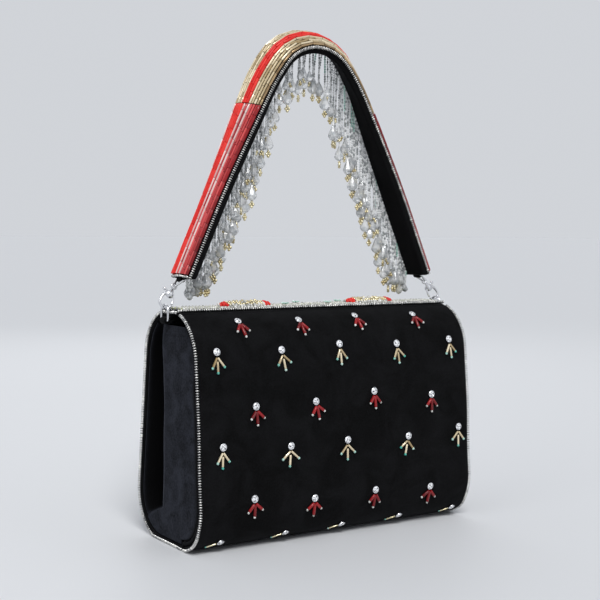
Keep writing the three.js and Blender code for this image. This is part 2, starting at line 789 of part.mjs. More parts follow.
function claspBody() {
  const hook = claspOutline();
  const eye = new THREE.Path();
  eye.absarc(0, eyeAlong, eyeHole, 0, 2 * Math.PI, true);
  const throat = new THREE.Path();
  throat.moveTo(-hookInner, hookCentre);
  throat.lineTo(-hookInner, shoulderHeight - hookInner / 2);
  throat.absarc(0, shoulderHeight - hookInner / 2, hookInner, Math.PI, 0, true);
  throat.lineTo(hookInner, hookCentre);
  throat.absarc(0, hookCentre, hookInner, 0, -Math.PI, true);
  hook.holes.push(eye, throat);
  const frame = toSolid(plate(hook, hookThickness));
  const rim = toSolid(plate(claspOutline(), housingThickness));
  const reach = hookOuter + cutMargin;
  const middle = boxAt(-reach, reach, 2 * housingThickness, housingStart, housingEnd);
  const housing = rim.intersect(toSolid(middle));
  const mouth = toSolid(boxAt(hookInner / 2, reach, 2 * housingThickness, gateSeat, gateTop));
  const slotLow = gateTop - 2 * gatePlay;
  const slot = toSolid(boxAt(-reach, reach, slotWidth, slotLow, housingEnd - gatePlay));
  const bore = toSolid(pinHole(pinRadius + pinPlay));
  return fromSolid(frame.add(housing).subtract(mouth).subtract(slot).subtract(bore));
}

// Sprung gate: a bar that closes the hook, and a lever through the slot to a thumb knob.
function claspTrigger() {
  const plateY = -(slotWidth - triggerPlate) / 2 + pinPlay / 2;
  const gate = boxAt(
    gateMiddle - gateWidth / 2,
    gateMiddle + gateWidth / 2,
    gateThickness,
    gateSeat + gatePlay,
    gateTop - gatePlay,
  );
  const arm = new THREE.Shape();
  arm.moveTo(gateMiddle + gateWidth / 2, gateTop - gateShoulder);
  arm.lineTo(pivotAcross + triggerBoss, pivotAlong);
  arm.absarc(pivotAcross, pivotAlong, triggerBoss, 0, Math.PI / 2, false);
  arm.lineTo(pivotAcross - leverReach, pivotAlong + leverRise + leverWidth / 2);
  arm.lineTo(pivotAcross - leverReach, pivotAlong + leverRise - leverWidth / 2);
  arm.lineTo(pivotAcross - triggerBoss, pivotAlong - triggerBoss / 2);
  arm.lineTo(gateMiddle - gateWidth / 2, gateTop - gateShoulder);
  arm.closePath();
  const lever = plate(arm, triggerPlate).translate(0, plateY, 0);
  const knob = new THREE.SphereGeometry(knobRadius, pinSides, wireSides);
  knob.translate(pivotAcross - leverReach, plateY, pivotAlong + leverRise);
  const bore = toSolid(pinHole(pinRadius + pinPlay));
  return fromSolid(joinAll([gate, lever, knob]).subtract(bore));
}

function claspPin() {
  const geometry = new THREE.CylinderGeometry(pinRadius, pinRadius, housingThickness, pinSides);
  return geometry.translate(pivotAcross, 0, pivotAlong);
}

// Torsion spring beside the lever, as the ring its coils fill.
function claspSpring() {
  const inner = pinRadius + pinPlay;
  const high = slotWidth / 2 - pinPlay / 2;
  const low = high - springWidth;
  const profile = [
    new THREE.Vector2(inner, low),
    new THREE.Vector2(springRadius, low),
    new THREE.Vector2(springRadius, high),
    new THREE.Vector2(inner, high),
    new THREE.Vector2(inner, low),
  ];
  return new THREE.LatheGeometry(profile, pinSides).translate(pivotAcross, 0, pivotAlong);
}

// Wire ring from the clasp's eye to the bar in the strap-end loop
function claspPoint(across, alongAxis) {
  const point = new THREE.Vector3(across, 0, alongAxis);
  point.applyAxisAngle(new THREE.Vector3(0, 1, 0), rad(claspLean));
  point.add(new THREE.Vector3(-ringOut, 0, ringRadius));
  return point.applyAxisAngle(new THREE.Vector3(1, 0, 0), -rad(claspTip));
}

function strapRing() {
  const eye = claspPoint(0, eyeAlong);
  const rise = linkBarPlace.clone().sub(eye);
  const height = rise.length();
  const up = rise.clone().normalize();
  const rear = new THREE.Vector3(0, 1, 0);
  const corners = [
    new THREE.Vector2(-linkFoot / 2, 0),
    new THREE.Vector2(linkFoot / 2, 0),
    new THREE.Vector2(linkBar / 2, height),
    new THREE.Vector2(-linkBar / 2, height),
  ];
  const outline = new THREE.Path();
  corners.forEach((corner, index) => {
    const before = corners[(index + 3) % 4];
    const after = corners[(index + 1) % 4];
    const enter = corner.clone().add(before.clone().sub(corner).setLength(linkCorner));
    const leave = corner.clone().add(after.clone().sub(corner).setLength(linkCorner));
    if (index === 0) outline.moveTo(enter.x, enter.y);
    else outline.lineTo(enter.x, enter.y);
    outline.quadraticCurveTo(corner.x, corner.y, leave.x, leave.y);
  });
  const points = outline.getPoints(cornerSteps).map((place) => eye.clone()
    .addScaledVector(rear, place.x)
    .addScaledVector(up, place.y));
  const normal = new THREE.Vector3().crossVectors(rear, up).normalize();
  return wire(points, normal, linkWire, wireSides, true);
}

// Scene graph
const bag = new THREE.Group();
const ends = [['left', -1], ['right', 1]];

// Pieces are drawn for the -X end; the +X end has their mirror image.
function sided(geometry, side) {
  if (side < 0) return geometry;
  const bare = geometry.clone();
  bare.deleteAttribute('normal');
  bare.deleteAttribute('uv');
  const merged = mergeVertices(bare, mergeDistance).scale(-1, 1, 1);
  const corners = merged.index.array;
  for (let corner = 0; corner < corners.length; corner += 3) {
    [corners[corner], corners[corner + 1]] = [corners[corner + 1], corners[corner]];
  }
  merged.computeVertexNormals();
  return merged;
}

function add(parent, name, geometry, material) {
  const mesh = new THREE.Mesh(geometry, material);
  mesh.name = name;
  parent.add(mesh);
  return mesh;
}

add(bag, 'body_shell', bodyShell(), velvet);
add(bag, 'base_board', baseBoard(), fibreBoard);
add(bag, 'lining', lining(), liningCloth);
add(bag, 'body_magnet', magnetAt(magnetRadius, bodyMagnetFace, bodyMagnetBack), steel);
add(bag, 'flap_panel', flapPanel(), velvet);
add(bag, 'flap_magnet', magnetAt(magnetRadius, flapMagnetBack, flapMagnetFace), steel);
add(bag, 'top_chain_front', topChain(frontChainAngle, arcs.crownFront), silver);
add(bag, 'top_chain_rear', topChain(Math.PI - frontChainAngle, arcs.crownBack), silver);
add(bag, 'top_beads', topBeads(), crystal);

for (const [name, side] of ends) {
  add(bag, `gusset_${name}`, gusset(side), gussetVelvet);
  add(bag, `body_chain_${name}`, bodyChain(side), silver);
  add(bag, `flap_chain_${name}`, flapChain(side), silver);
  add(bag, `bead_cluster_${name}`, beadCluster(side), goldBead);

  const end = new THREE.Group();
  end.position.set(side * ringOut, ringBack, ringAxis);
  bag.add(end);
  add(end, `ring_tab_${name}`, sided(ringTab(), side), velvet);
  add(end, `d_ring_${name}`, sided(dRing(), side), silver);
}

// The handle's origin is the axis through the round ends of both D-rings.
const handle = new THREE.Group();
handle.position.set(0, ringBack, ringAxis);
bag.add(handle);
add(handle, 'strap', strap(), velvet);
add(handle, 'strap_chain', strapChain(), silver);
add(handle, 'strap_beads_left', beadField(-redOuter, -redInner), redBead);
add(handle, 'strap_beads_top', beadField(-goldHalfLength, goldHalfLength), goldBead);
add(handle, 'strap_beads_right', beadField(redInner, redOuter), redBead);
add(handle, 'bead_fringe', beadFringe(), crystal);

for (const [name, side] of ends) {
  add(handle, `strap_ring_${name}`, sided(strapRing(), side), silver);

  const tab = add(handle, `strap_tab_${name}`, sided(strapTab(), side), velvet);
  tab.position.set(-side * linkBarPlace.x, linkBarPlace.y, linkBarPlace.z);

  // Each clasp leans to the middle of the bag and has slid back along its D-ring.
  const slide = new THREE.Group();
  slide.rotation.x = -rad(claspTip);
  handle.add(slide);
  const clasp = new THREE.Group();
  clasp.position.set(side * ringOut, 0, ringRadius);
  clasp.rotation.y = -side * rad(claspLean);
  slide.add(clasp);
  add(clasp, `clasp_body_${name}`, sided(claspBody(), side), silver);
  add(clasp, `clasp_trigger_${name}`, sided(claspTrigger(), side), silver);
  add(clasp, `clasp_pin_${name}`, sided(claspPin(), side), steel);
  add(clasp, `clasp_spring_${name}`, sided(claspSpring(), side), steel);
}

export default bag;
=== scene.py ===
import bmesh
import bpy
import numpy as np
from mathutils import Matrix


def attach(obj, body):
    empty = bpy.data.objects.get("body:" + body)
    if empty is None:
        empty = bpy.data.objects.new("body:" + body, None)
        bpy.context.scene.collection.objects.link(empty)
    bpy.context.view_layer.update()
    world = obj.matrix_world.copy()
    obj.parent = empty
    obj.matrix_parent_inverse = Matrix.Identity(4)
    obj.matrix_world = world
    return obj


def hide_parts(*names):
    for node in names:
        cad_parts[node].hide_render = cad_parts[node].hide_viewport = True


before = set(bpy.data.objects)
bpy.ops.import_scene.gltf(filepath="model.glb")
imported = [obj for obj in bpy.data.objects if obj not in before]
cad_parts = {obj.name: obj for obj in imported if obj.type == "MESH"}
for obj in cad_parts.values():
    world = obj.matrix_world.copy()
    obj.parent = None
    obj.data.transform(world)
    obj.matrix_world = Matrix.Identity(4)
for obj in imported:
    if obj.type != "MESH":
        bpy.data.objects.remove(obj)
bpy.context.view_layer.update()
print("frame loaded:", len(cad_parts), "nodes")

metre = 0.001  # shapes are worked out in millimetres
dice = np.random.default_rng(11)
scene = bpy.context.scene
scene.view_settings.view_transform = "Standard"


# Small array helpers

def unit(vectors):
    return vectors / np.linalg.norm(vectors, axis=-1, keepdims=True)


def easeStep(value, low, high):
    share = np.clip((value - low) / (high - low), 0, 1)
    return share * share * (3 - 2 * share)


# Points between two ends, without the ends.
def bridge(start, end, count):
    return np.linspace(start, end, count + 2)[1:-1]


# The same path with points at equal lengths, about one pitch apart.
def evenly(path, pitch, closed=False):
    if closed:
        path = np.concatenate([path, path[:1]])
    run = np.concatenate([[0], np.cumsum(np.linalg.norm(np.diff(path, axis=0), axis=1))])
    count = max(int(round(run[-1] / pitch)), 1)
    stops = np.linspace(0, run[-1], count + 1)
    if closed:
        stops = stops[:-1]
    return np.stack([np.interp(stops, run, path[:, k]) for k in range(path.shape[1])], axis=1)


# Corner cutting: each side keeps its quarter and three-quarter points.
def softened(path, rounds=3, closed=False):
    for _ in range(rounds):
        after = np.roll(path, -1, axis=0) if closed else path[1:]
        before = path if closed else path[:-1]
        cut = np.stack([0.75 * before + 0.25 * after, 0.25 * before + 0.75 * after], axis=1)
        cut = cut.reshape(-1, path.shape[1])
        path = cut if closed else np.concatenate([path[:1], cut, path[-1:]])
    return path


# Quads of a grid of points, joined round where a side wraps.
def gridFaces(rows, columns, wrapRows=False, wrapColumns=False):
    r, c = np.meshgrid(
        np.arange(rows if wrapRows else rows - 1),
        np.arange(columns if wrapColumns else columns - 1),
        indexing="ij",
    )
    r, c = r.ravel(), c.ravel()
    nextR, nextC = (r + 1) % rows, (c + 1) % columns
    return np.stack(
        [r * columns + c, r * columns + nextC, nextR * columns + nextC, nextR * columns + c], axis=1
    )


# Faces of a tube: rings of points joined in order, with a flat face at each end.
def cappedFaces(rings, around):
    last = (rings - 1) * around
    ends = [np.arange(around)[None, ::-1], last + np.arange(around)[None]]
    return [gridFaces(rings, around, False, True)] + ends


# The same row of values with each inner one eased by its neighbours.
def meaned(values):
    values = values.copy()
    values[..., 1:-1] = 0.25 * values[..., :-2] + 0.5 * values[..., 1:-1] + 0.25 * values[..., 2:]
    return values


# Shape builders: each gives points in millimetres and arrays of faces

# Tube: an ellipse stands square to the path at each of its points;
# point = path + wide cos(t) side + thick sin(t) (tangent x side).
def tubeParts(path, wide, thick, hint, around=12, closed=False):
    if closed:
        tangent = unit(np.roll(path, -1, axis=0) - np.roll(path, 1, axis=0))
    else:
        tangent = unit(np.gradient(path, axis=0))
    hint = np.asarray(hint, float)
    side = unit(hint - (tangent @ hint)[:, None] * tangent)
    other = np.cross(tangent, side)
    turn = np.linspace(0, 2 * np.pi, around, endpoint=False)
    wide = np.broadcast_to(wide, len(path))[:, None, None]
    thick = np.broadcast_to(thick, len(path))[:, None, None]
    ring = wide * np.cos(turn)[None, :, None] * side[:, None]
    ring = ring + thick * np.sin(turn)[None, :, None] * other[:, None]
    faces = [gridFaces(len(path), around, True, True)] if closed else cappedFaces(len(path), around)
    return (path[:, None] + ring).reshape(-1, 3), faces


# Band: a rounded strip section carried along a path in the plane of two axes;
# point = path + depth * normal + across * width direction.
def bandParts(path, normals, widthAxis, width, thickness, edge):
    quarter = np.linspace(0, np.pi / 2, 4)
    halfW, halfT = width / 2, thickness / 2
    cornerW = halfW - edge + edge * np.sin(quarter)
    cornerT = halfT - edge + edge * np.cos(quarter)
    across = np.concatenate([cornerW, cornerW[::-1], -cornerW, -cornerW[::-1]])
    depth = np.concatenate([cornerT, -cornerT[::-1], -cornerT, cornerT[::-1]])
    points = path[:, None] + depth[None, :, None] * normals[:, None]
    points = points + across[None, :, None] * np.asarray(widthAxis, float)[None, None]
    return points.reshape(-1, 3), cappedFaces(len(path), len(across))


# Lathe: rings of radius r at height z about the Z axis, closed by flat ends.
def latheParts(profile, around):
    profile = np.asarray(profile, float)
    turn = np.linspace(0, 2 * np.pi, around, endpoint=False)
    radius, height = profile[:, :1], profile[:, 1:]
    points = np.stack(
        [radius * np.cos(turn), radius * np.sin(turn), np.repeat(height, around, axis=1)], axis=2
    )
    return points.reshape(-1, 3), cappedFaces(len(profile), around)


# Ball: a lathe of a half circle with small flat poles.
def ballParts(around=8, rings=5):
    angle = np.linspace(-1.35, 1.35, rings)
    return latheParts(np.stack([np.cos(angle), np.sin(angle)], axis=1), around)


# Bugle: a cut glass tube of unit length, with a dished hole at each end.
def bugleParts(around=8):
    return latheParts(
        [(0.34, -0.44), (0.45, -0.5), (0.86, -0.5), (1, -0.47), (1, 0.47), (0.86, 0.5), (0.45, 0.5),
         (0.34, 0.44)], around)


# Drop: a long faceted pear, its point up.
def dropParts(around=8):
    return latheParts(
        [(0.14, 0.5), (0.32, 0.37), (0.7, 0.1), (0.97, -0.13), (0.96, -0.25), (0.64, -0.41), (0.2, -0.5)],
        around)


# Stone: each facet is a triangle of its own, so that each facet can carry a painted reflection of its
# own, bright for some and dark for others. Rings of corners, each turned half a step from the last, rise
# from the girdle to the table, which closes on a middle point.
def stoneParts():
    around = 8
    turn = np.linspace(0, 2 * np.pi, around, endpoint=False)
    half = np.pi / around
    rings = [(1.0, 0.0, 0.0), (1.0, 0.3, 0.0), (0.82, 0.5, half), (0.5, 0.64, 0.0), (0.0, 0.64, 0.0)]
    corners = np.stack([
        np.stack([r * np.cos(turn + s), r * np.sin(turn + s), np.full(around, z)], axis=1)
        for r, z, s in rings])
    here = np.arange(around)
    after, before = (here + 1) % around, (here - 1) % around
    facets = [
        (0, here, 0, after, 1, after), (0, here, 1, after, 1, here),
        (1, here, 1, after, 2, here), (2, before, 1, here, 2, here),
        (2, before, 2, here, 3, here), (3, here, 2, here, 3, after), (3, here, 3, after, 4, here),
    ]
    # painted reflections: one tone for each facet of each ring, bright ones and dark ones
    paintedFacetGlints = [
        [0.4] * 8, [0.4] * 8, [1, 0.7, 1, 0.9, 1, 0.6, 1, 0.8], [0.9, 1, 0.5, 1, 0.1, 1, 0.9, 1],
        [1, 0.9, 0.1, 1, 1, 0.8, 0.15, 1], [0.02, 1, 0.9, 0.02, 1, 0.95, 0.02, 1],
        [1, 0.9, 0.02, 0.95, 1, 1, 0.05, 0.9],
    ]
    points = np.concatenate([
        np.stack([corners[f[k], f[k + 1]] for k in (0, 2, 4)], axis=1) for f in facets])
    tones = np.concatenate(paintedFacetGlints)
    triangles = np.arange(3 * len(points)).reshape(-1, 3)
    return (points.reshape(-1, 3), [triangles]), np.repeat(tones, 3)


# A small shape set at many places: point = place + axes . (size * point).
def scatterParts(shape, places, axes, sizes):
    points, faces = shape
    sizes = np.broadcast_to(np.asarray(sizes, float), (len(places), 3))
    axes = np.broadcast_to(axes, (len(places), 3, 3))
    moved = np.einsum("nij,nkj->nki", axes, points[None] * sizes[:, None])
    moved = moved + places[:, None]
    shift = np.arange(len(places))[:, None, None] * len(points)
    return moved.reshape(-1, 3), [(f[None] + shift).reshape(-1, f.shape[1]) for f in faces]


# Axes with the third one along a direction and the second near a hint.
def axesAlong(direction, hint):
    third = unit(direction)
    first = unit(np.cross(np.broadcast_to(hint, third.shape), third))
    second = np.cross(third, first)
    return np.stack([first, second, third], axis=-1)


# Facets set apart, each with its own corners and turned to face away from the middle of the shape.
def apart(shape):
    points, faces = shape
    corners, blocks, count = [], [], 0
    for block in faces:
        facet = points[block] - points.mean(axis=0)
        normal = np.cross(facet[:, 1] - facet[:, 0], facet[:, 2] - facet[:, 0])
        isInward = (normal * facet.mean(axis=1)).sum(axis=1) < 0
        facet = np.where(isInward[:, None, None], facet[:, ::-1], facet) + points.mean(axis=0)
        corners.append(facet.reshape(-1, 3))
        blocks.append(count + np.arange(block.size).reshape(block.shape))
        count += block.size
    return np.concatenate(corners), blocks


# Painted glints on cut glass: tones, most of them bright, the others dark.
def paintedGlints(count):
    return np.where(dice.random(count) < 0.62, 0.7 + 0.3 * dice.random(count), 0.35 * dice.random(count))


def eachTone(shape, tones):
    return np.repeat(tones, len(shape[0]))


mirrorX = np.array([-1.0, 1.0, 1.0])


# Both ends: the parts as drawn for the left, and their mirror image with its faces turned round.
def bothEnds(parts):
    points, faces = parts
    return [parts, (points * mirrorX, [f[:, ::-1] for f in faces])]


# One mesh from parts; the tones, one for each point, go in as an attribute.
def makeMesh(name, parts, tones=None):
    points = np.concatenate([p for p, _ in parts])
    starts = np.cumsum([0] + [len(p) for p, _ in parts])
    blocks = [f + first for (_, faces), first in zip(parts, starts) for f in faces]
    corners = np.concatenate([b.ravel() for b in blocks])
    sizes = np.concatenate([np.full(len(b), b.shape[1]) for b in blocks])
    mesh = bpy.data.meshes.new(name)
    mesh.vertices.add(len(points))
    mesh.vertices.foreach_set("co", (points * metre).astype(np.float32).ravel())
    mesh.loops.add(len(corners))
    mesh.loops.foreach_set("vertex_index", corners.astype(np.int32))
    mesh.polygons.add(len(sizes))
    mesh.polygons.foreach_set("loop_start", np.concatenate([[0], np.cumsum(sizes)[:-1]]).astype(np.int32))
    mesh.update(calc_edges=True)
    if tones is not None:
        attribute = mesh.attributes.new("tone", "FLOAT", "POINT")
        attribute.data.foreach_set("value", tones.astype(np.float32))
    return mesh


def turnOutward(mesh):
    work = bmesh.new()
    work.from_mesh(mesh)
    bmesh.ops.recalc_face_normals(work, faces=work.faces)
    work.to_mesh(mesh)
    work.free()


lowFront = {"ease": 0.047, "foot": (4.0, 22.0), "rise": (48.0, 95.0)}


# The bag's front is flatter low down than its arcs: y * (1 - ease * bump of the height).
def flattened(points):
    z = points[:, 2]
    bump = easeStep(z, *lowFront["foot"]) * (1 - easeStep(z, *lowFront["rise"]))
    pull = 1 - lowFront["ease"] * bump * (points[:, 1] < 0)
    return points * np.stack([0 * z + 1, pull, 0 * z + 1], axis=1)


def addPiece(name, parts, material, body, replaced=(), sharpAngle=40, tones=None, closed=True):
    if body in ("bag", "flap"):
        parts = [(flattened(points), faces) for points, faces in parts]
    mesh = makeMesh(name, parts, tones)
    if closed:
        turnOutward(mesh)
    mesh.polygons.foreach_set("use_smooth", np.ones(len(mesh.polygons), bool))
    mesh.set_sharp_from_angle(angle=np.radians(sharpAngle))
    mesh.materials.append(material)
    piece = bpy.data.objects.new(name, mesh)
    scene.collection.objects.link(piece)
    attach(piece, body)
    if replaced:
        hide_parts(*replaced)
    return piece


# Beads of one shape as a piece, each with a tone of its own.
def addBeads(
        name, shape, places, axes, sizes, material, body, replaced=(), sharpAngle=80, tones=None):
    tones = dice.random(len(places)) if tones is None else tones
    beads = scatterParts(shape, places, axes, sizes)
    return addPiece(name, [beads], material, body, replaced, sharpAngle, eachTone(shape, tones))


# Materials

def newMaterial(name):
    material = bpy.data.materials.new(name)
    material.use_nodes = True
    nodes, links = material.node_tree.nodes, material.node_tree.links
    return material, nodes, links, nodes["Principled BSDF"]


def newGroup(name, inputs, outputs):
    group = bpy.data.node_groups.new(name, "ShaderNodeTree")
    for socketName, kind, value in inputs:
        socket = group.interface.new_socket(socketName, in_out="INPUT", socket_type=kind)
        socket.default_value = value
    for socketName, kind in outputs:
        group.interface.new_socket(socketName, in_out="OUTPUT", socket_type=kind)
    enter, leave = group.nodes.new("NodeGroupInput"), group.nodes.new("NodeGroupOutput")
    return group, group.nodes, group.links, enter, leave


# A shader node with its settings and the values of its inputs.
def addNode(nodes, kind, values=None, **settings):
    node = nodes.new("ShaderNode" + kind)
    for setting, value in settings.items():
        setattr(node, setting, value)
    for socket, value in (values or {}).items():
        node.inputs[socket].default_value = value
    return node


# Links, each from a node's output to a node's input.
def joinNodes(links, *pairs):
    for source, output, target, entry in pairs:
        links.new(source.outputs[output], target.inputs[entry])


# Velvet pile: broad brushed patches and fine fibre tips, as a colour and a height.
# Share of the nap colour = 0.75 * patch + grain * (fibre - 0.5) + 0.25.
def makeNapGroup():
    group, nodes, links, enter, leave = newGroup(
        "napShade",
        [("Ground", "NodeSocketColor", (0, 0, 0, 1)), ("Nap", "NodeSocketColor", (0.1, 0.1, 0.1, 1)),
         ("Patch", "NodeSocketFloat", 30.0), ("Fibre", "NodeSocketFloat", 1600.0),
         ("Grain", "NodeSocketFloat", 0.5)],
        [("Color", "NodeSocketColor"), ("Height", "NodeSocketFloat")],
    )
    place = addNode(nodes, "TexCoord")
    patch = addNode(nodes, "TexNoise", {"Detail": 4, "Roughness": 0.6, "Distortion": 0.8})
    fibre = addNode(nodes, "TexNoise", {"Detail": 2})
    contrast = addNode(nodes, "MapRange", {"From Min": 0.36, "From Max": 0.68})
    centred = addNode(nodes, "Math", {1: 0.5}, operation="SUBTRACT")
    tips = addNode(nodes, "Math", {2: 0.25}, operation="MULTIPLY_ADD")
    total = addNode(nodes, "Math", {1: 0.75}, operation="MULTIPLY_ADD", use_clamp=True)
    blend = addNode(nodes, "Mix", data_type="RGBA")
    joinNodes(
        links, (place, "Object", patch, "Vector"), (place, "Object", fibre, "Vector"),
        (enter, "Patch", patch, "Scale"), (enter, "Fibre", fibre, "Scale"),
        (patch, "Fac", contrast, "Value"), (fibre, "Fac", centred, 0), (centred, 0, tips, 0),
        (enter, "Grain", tips, 1), (contrast, "Result", total, 0), (tips, 0, total, 2),
        (total, 0, blend, "Factor"), (enter, "Ground", blend, "A"), (enter, "Nap", blend, "B"),
        (blend, "Result", leave, "Color"), (fibre, "Fac", leave, "Height"))
    return group


# Colour from one colour to another by the tone attribute, and a roughness that varies a little. On beads
# the tone is each bead's own; on stones and cut glass it carries painted glints, and on the end cloth
# painted shade.
def makeToneGroup():
    group, nodes, links, enter, leave = newGroup(
        "toneAndPaintedLight",
        [("Low", "NodeSocketColor", (0, 0, 0, 1)), ("High", "NodeSocketColor", (1, 1, 1, 1)),
         ("Gloss", "NodeSocketFloat", 0.15)],
        [("Color", "NodeSocketColor"), ("Roughness", "NodeSocketFloat")],
    )
    tone = addNode(nodes, "Attribute", attribute_name="tone")
    blend = addNode(nodes, "Mix", data_type="RGBA")
    rough = addNode(nodes, "Math", {1: 0.08}, operation="MULTIPLY_ADD")
    joinNodes(
        links, (tone, "Fac", blend, "Factor"), (enter, "Low", blend, "A"), (enter, "High", blend, "B"),
        (tone, "Fac", rough, 0), (enter, "Gloss", rough, 2), (blend, "Result", leave, "Color"),
        (rough, 0, leave, "Roughness"))
    return group


# Handling marks on metal: soft cloudy wear as a colour share and a roughness.
def makeRubGroup():
    group, nodes, links, enter, leave = newGroup(
        "rubMarks",
        [("Bright", "NodeSocketColor", (0.8, 0.8, 0.8, 1)), ("Dull", "NodeSocketColor", (0.6, 0.6, 0.6, 1)),
         ("Scale", "NodeSocketFloat", 200.0), ("Gloss", "NodeSocketFloat", 0.15)],
        [("Color", "NodeSocketColor"), ("Roughness", "NodeSocketFloat")],
    )
    place = addNode(nodes, "TexCoord")
    cloud = addNode(nodes, "TexNoise", {"Detail": 3})
    blend = addNode(nodes, "Mix", data_type="RGBA")
    rough = addNode(nodes, "Math", {1: 0.16}, operation="MULTIPLY_ADD")
    joinNodes(
        links, (place, "Object", cloud, "Vector"), (enter, "Scale", cloud, "Scale"),
        (cloud, "Fac", blend, "Factor"), (enter, "Bright", blend, "A"), (enter, "Dull", blend, "B"),
        (cloud, "Fac", rough, 0), (enter, "Gloss", rough, 2), (blend, "Result", leave, "Color"),
        (rough, 0, leave, "Roughness"))
    return group


napGroup = makeNapGroup()
toneGroup = makeToneGroup()
rubGroup = makeRubGroup()


def placeGroup(nodes, group, values):
    node = nodes.new("ShaderNodeGroup")
    node.node_tree = group
    for socketName, value in values.items():
        node.inputs[socketName].default_value = value
    return node


def color(red, green, blue):
    return (red, green, blue, 1.0)


def velvetFinish(
        name, ground, nap, sheen, sheenTint, patch=30.0, bump=0.25, deep=None, fibre=1600.0, grain=0.5):
    material, nodes, links, shader = newMaterial(name)
    pile = placeGroup(
        nodes, napGroup, {"Ground": ground, "Nap": nap, "Patch": patch, "Fibre": fibre, "Grain": grain})
    shade = pile.outputs["Color"]
    # deep is a colour of painted shade: where the tone attribute is high, the pile colour gives way to it
    if deep is not None:
        tone = placeGroup(nodes, toneGroup, {"High": deep})
        links.new(shade, tone.inputs["Low"])
        shade = tone.outputs["Color"]
    relief = nodes.new("ShaderNodeBump")
    relief.inputs["Strength"].default_value = bump
    relief.inputs["Distance"].default_value = 0.0004
    links.new(shade, shader.inputs["Base Color"])
    links.new(pile.outputs["Height"], relief.inputs["Height"])
    links.new(relief.outputs["Normal"], shader.inputs["Normal"])
    shader.inputs["Roughness"].default_value = 0.9
    shader.inputs["Sheen Weight"].default_value = sheen
    shader.inputs["Sheen Roughness"].default_value = 0.35
    shader.inputs["Specular IOR Level"].default_value = 0.1
    shader.inputs["Sheen Tint"].default_value = sheenTint
    return material


def beadFinish(name, low, high, gloss, metal=0.0, clear=0.0, coat=0.0, shine=0.5):
    material, nodes, links, shader = newMaterial(name)
    tone = placeGroup(nodes, toneGroup, {"Low": low, "High": high, "Gloss": gloss})
    links.new(tone.outputs["Color"], shader.inputs["Base Color"])
    links.new(tone.outputs["Roughness"], shader.inputs["Roughness"])
    shader.inputs["Metallic"].default_value = metal
    shader.inputs["Transmission Weight"].default_value = clear
    shader.inputs["Specular IOR Level"].default_value = shine
    shader.inputs["Coat Weight"].default_value = coat
    shader.inputs["Coat Roughness"].default_value = 0.05
    shader.inputs["IOR"].default_value = 1.52
    return material


def metalFinish(name, bright, dull, gloss, scale):
    material, nodes, links, shader = newMaterial(name)
    rub = placeGroup(nodes, rubGroup, {"Bright": bright, "Dull": dull, "Gloss": gloss, "Scale": scale})
    links.new(rub.outputs["Color"], shader.inputs["Base Color"])
    links.new(rub.outputs["Roughness"], shader.inputs["Roughness"])
    shader.inputs["Metallic"].default_value = 1.0
    return material


blackVelvet = velvetFinish(
    "blackVelvet", color(0.0001, 0.0001, 0.0001), color(0.0052, 0.0053, 0.006), 0.026,
    color(0.55, 0.58, 0.7), patch=42.0, fibre=1000.0, grain=1.2)
strapVelvet = velvetFinish(
    "strapVelvet", color(0.001, 0.001, 0.0011), color(0.0035, 0.0035, 0.004), 0.02, color(0.5, 0.5, 0.55))
# endVelvet's deep colour is painted shade for the tucked recess and the front edge of the end cloth
endVelvet = velvetFinish(
    "endVelvet", color(0.0006, 0.0008, 0.0014), color(0.022, 0.024, 0.032), 0.1, color(0.5, 0.55, 0.72),
    patch=75.0, bump=0.6, deep=color(0.001, 0.001, 0.0013), fibre=800.0, grain=1.6)
liningSatin = velvetFinish(
    "liningSatin", color(0.012, 0.009, 0.01), color(0.035, 0.027, 0.03), 0.1, color(0.6, 0.5, 0.5),
    patch=90.0, bump=0.1)
fibreBoard = velvetFinish(
    "fibreBoard", color(0.05, 0.04, 0.03), color(0.1, 0.08, 0.055), 0.0, color(1, 1, 1), patch=150.0,
    bump=0.2)
silverPlate = metalFinish("silverPlate", color(0.8, 0.8, 0.82), color(0.52, 0.53, 0.55), 0.12, 260.0)
plainSteel = metalFinish("plainSteel", color(0.6, 0.61, 0.63), color(0.4, 0.41, 0.43), 0.25, 500.0)
silverBall = beadFinish("silverBall", color(0.3, 0.3, 0.3), color(0.72, 0.71, 0.68), 0.2, metal=1.0)
coralGlass = beadFinish(
    "coralGlass", color(0.66, 0.016, 0.012), color(0.84, 0.045, 0.034), 0.35, coat=0.08, shine=0.25)
roseGlass = beadFinish(
    "roseGlass", color(0.36, 0.015, 0.02), color(0.74, 0.1, 0.1), 0.2, coat=0.25, shine=0.3)
clearGlass = beadFinish("clearGlass", color(0.7, 0.42, 0.4), color(0.94, 0.78, 0.74), 0.12, coat=0.5)
goldGlass = beadFinish(
    "goldGlass", color(0.2, 0.12, 0.05), color(0.6, 0.42, 0.22), 0.2, metal=0.6, coat=0.5)
paleGold = beadFinish("paleGold", color(0.48, 0.39, 0.2), color(0.9, 0.82, 0.56), 0.16, metal=0.7, coat=0.5)
darkRedGlass = beadFinish(
    "darkRedGlass", color(0.13, 0.003, 0.005), color(0.34, 0.01, 0.013), 0.25, coat=0.15, shine=0.3)
